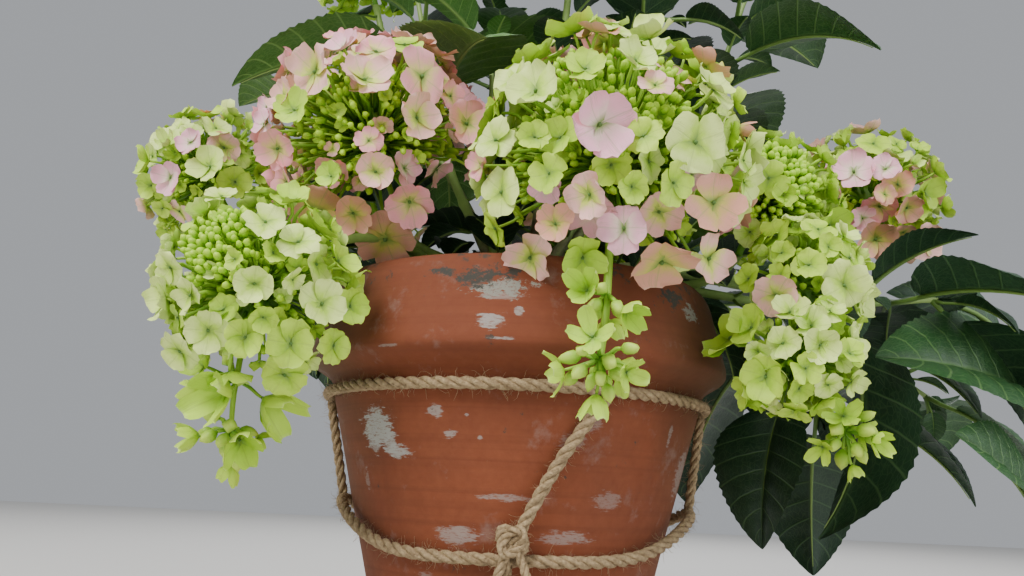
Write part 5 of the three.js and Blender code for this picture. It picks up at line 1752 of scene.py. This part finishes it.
def makeLeafMaterial(kind):  # midrib, side veins and a fine net, from the blade's own map
    blade, vein = leafTints[kind]
    material, tree, shader = newMaterial(kind + "Leaf", 0.42)
    place, across, along = ownMap(tree)
    aside = mathOf(tree, "ABSOLUTE", mathOf(tree, "SUBTRACT", across, 0.5))
    swept = mathOf(tree, "MULTIPLY", aside, -leaf["veinSweep"] / 0.48)
    spaced = mathOf(tree, "MULTIPLY_ADD", along, leaf["pairs"] / 0.98, swept)
    ridges = mathOf(tree, "COSINE", mathOf(tree, "MULTIPLY", spaced, fullTurn))
    net = addNode(tree, "ShaderNodeTexVoronoi", {"Vector": place, "Scale": 26.0}, feature="DISTANCE_TO_EDGE")
    veins = ramped(tree, net.outputs["Distance"], 0.09, 0.02, 0.0, 0.35)
    for value, low, high in ((aside, 0.03, 0.008), (ridges, 0.93, 0.995)):
        veins = mathOf(tree, "MAXIMUM", veins, ramped(tree, value, low, high))
    shade, light = [tuple(value * share for value in blade[:3]) + (1,) for share in (0.66, 1.3)]
    body = mixColour(tree, cloudOf(tree, place, 4.0, 3.0), shade, light)
    addLook(tree, shader, mixColour(tree, veins, body, vein), veins, 0.5, -0.6 * mm)
    return material


def addLeaf(blades, stems, kind, node, base, turn, length, bend, random, teeth, thick):
    addPart(blades[kind], *bladeSurface(base, turn, length, bend, random, teeth))
    spine = [leafPlace(base, turn, length, bend, share, 0, -leaf["ribSink"] - length * leaf["midrib"])
             for share in np.linspace(0, 0.94, leaf["ribSteps"])]
    stems.append(([node, node.lerp(base, 0.5) - turn.col[2] * 1.5 * mm] + spine,
                  [thick * 1.25, thick] + list(np.linspace(thick * 0.92, 0.35 * mm, leaf["ribSteps"]))))


def smallLeafFits(base, turn, length, bend, taken, paths, spacing=twigs["spacing"]):
    points = np.array([
        leafPlace(base, turn, length, bend, share, side * length * leafWidth(share), 0)
        for share in twigs["stations"] for side in (-1, 0, 1)])
    return points if isFree(points, paths, ballRadii * twigs["headShare"], taken, spacing) else None


def addDroopingTwig(blades, stems, taken):
    path = smoothPath([Vector(stop) for stop in droopingTwig["stops"]], 6)
    stems.append((path, list(np.linspace(droopingTwig["radius"], droopingTwig["endRadius"], len(path)))))
    bend = droopingTwig["bend"]
    for index, (station, foot, tip, kind) in enumerate(droopingTwig["leaves"]):
        random = randomFrom(seeds["droopingLeaves"] + index)
        base = Vector(foot)
        chord = Vector(tip) - base
        length = chord.length * (bend / 2) / math.sin(bend / 2)
        side = Vector(droopingTwig["facing"]).cross(chord).normalized()
        level = Matrix((chord.normalized(), side, chord.normalized().cross(side))).transposed()
        turn = level @ Matrix.Rotation(-bend / 2, 3, "Y")
        for share in droopingTwig["lengthShares"]:
            points = smallLeafFits(base, turn, length * share, bend, taken, canePaths,
                                   droopingTwig["spacing"])
            if points is not None:
                taken = np.vstack([taken, points])
                addLeaf(blades, stems, kind, path[station], base, turn, length * share, bend, random,
                        leaf["teeth"], leaf["petioleRadius"] * 0.8)
                print("drooping leaf", index, "at", share, "of its length")
                break
    return taken


def caneSites(seed, shares, least, more):  # pairs of leaves along each cane, dark with painted shade inside the bush
    sites = []
    for index, (_, corners) in enumerate(canes):
        random = randomFrom(seed + 100 * index)
        for share in shares:
            node = bezier(corners, share + 0.08 * (random() - 0.5))
            ahead = (bezier(corners, share + 0.05) - bezier(corners, share)).normalized()
            for half in (0, 1):
                across = facingFrame(ahead, random() * math.pi + half * math.pi).col[0]
                length = least + more * random()
                sites.append((node, (across + ahead * 0.5).normalized(), length, "dark", 0.0))
    return sites


def addTwigs(blades, stems, leaves, taken):  # finer twigs, carried on from the shoots and the canes
    sites = []
    for owner, node, base, turn, length, bend, random in leaves:
        way = (turn.col[0] * 0.8 + shoots[owner]["way"]).normalized()
        blade = twigs["bladeShare"] * length
        sites.append((node, way, blade, shoots[owner]["tint"], twigs["stemLength"]))
    for seed, shares, least, more in (
            (seeds["caneLeaves"], twigs["caneShares"], twigs["leastBlade"], twigs["bladeRange"]),
            (seeds["innerLeaves"], twigs["innerShares"], twigs["innerBlade"], twigs["innerRange"])):
        sites += caneSites(seed, shares, least, more)
    added = 0
    for index, (node, way, length, kind, stemLength) in enumerate(sites):
        random = randomFrom(seeds["twigs"] + 10 * index)
        for half in (-1, 1) if stemLength else (0,):
            for attempt in range(twigs["tries"]):
                aside = Vector((0, 0, 1)).cross(way).normalized() * half * (0.7 + 0.4 * random())
                outward = tilted((way + aside).normalized(), random, twigs["tilt"] * attempt)
                turn = leafTurn(outward)
                blade = length * (0.8 + 0.4 * random()) * (1 - twigs["shrink"] * attempt)
                bend = leaf["bend"] * (leaf["leastBend"] + leaf["bendRange"] * random())
                base = node + way * stemLength + outward * twigs["petiole"]
                points = smallLeafFits(base, turn, blade, bend, taken, canePaths + stemPaths)
                if points is None:
                    continue
                taken = np.vstack([taken, points])
                addLeaf(blades, stems, kind, node, base, turn, blade, bend, random,
                        twigs["teeth"], twigs["petioleRadius"])
                added += 1
                break
    print(added, "leaves on finer twigs")


def makeShoots():
    blades = {kind: emptyStore() for kind in leafTints}
    stems = []
    leaves, taken = findLeaves()
    for owner, node, base, turn, length, bend, random in leaves:
        addLeaf(blades, stems, shoots[owner]["tint"], node, base, turn, length, bend, random,
                leaf["teeth"], leaf["petioleRadius"])
    taken = addDroopingTwig(blades, stems, taken)
    addTwigs(blades, stems, leaves, taken)
    for owner, shoot in enumerate(shoots):
        start, end = (Vector(point) for point in stemPaths[owner])
        stations = np.linspace(0, 1, 8 * shoot["pairs"])
        radii = []
        for share in stations:
            along = share * (end - start).length / shootStem["gap"] - shootStem["firstNode"]
            offNode = (along - round(along)) / shootStem["swellShare"]
            swell = shootStem["swell"] * math.exp(-offNode ** 2) if along > -0.3 else 0
            radius = shootStem["baseRadius"] * (1 - share) + shootStem["tipRadius"] * share
            radii.append(radius * (1 + swell))
        stems.append(([start.lerp(end, share) for share in stations], radii))
        tipLeaves(blades[shoot["tint"]], stems, shoot, end, owner)
    names = [f"leaves.{shoot['name']}" for shoot in shoots]
    for kind, store in blades.items():
        finishStore(f"leaves.{kind}Blades", store, makeLeafMaterial(kind), "foliage", *names)
    stalk = makeBudMaterial("leafStalk", (0.14, 0.26, 0.05, 1), (0.30, 0.44, 0.12, 1), 0.45)
    finishStore("leaves.stalks", tubeStore(stems, leaf["stalkSides"]), stalk, "green_stem", *names)
    print(len(leaves), "leaves")


def tipLeaves(store, stems, shoot, end, owner):  # the young leaves still folded round a shoot's tip
    for index, (tall, lean) in enumerate(leaf["tips"]):
        random = randomFrom(seeds["tips"] + 10 * owner + index)
        around = shoot["turn"] * degree + (shoot["pairs"] + index // 2) * math.pi / 2 + index * math.pi
        outward = (facingFrame(shoot["way"], around).col[0] * lean + shoot["way"]).normalized()
        turn = leafTurn(outward, shoot["way"])
        addPart(store, *bladeSurface(end - shoot["way"] * 2 * mm, turn, tall, 0.5, random))


makeShoots()
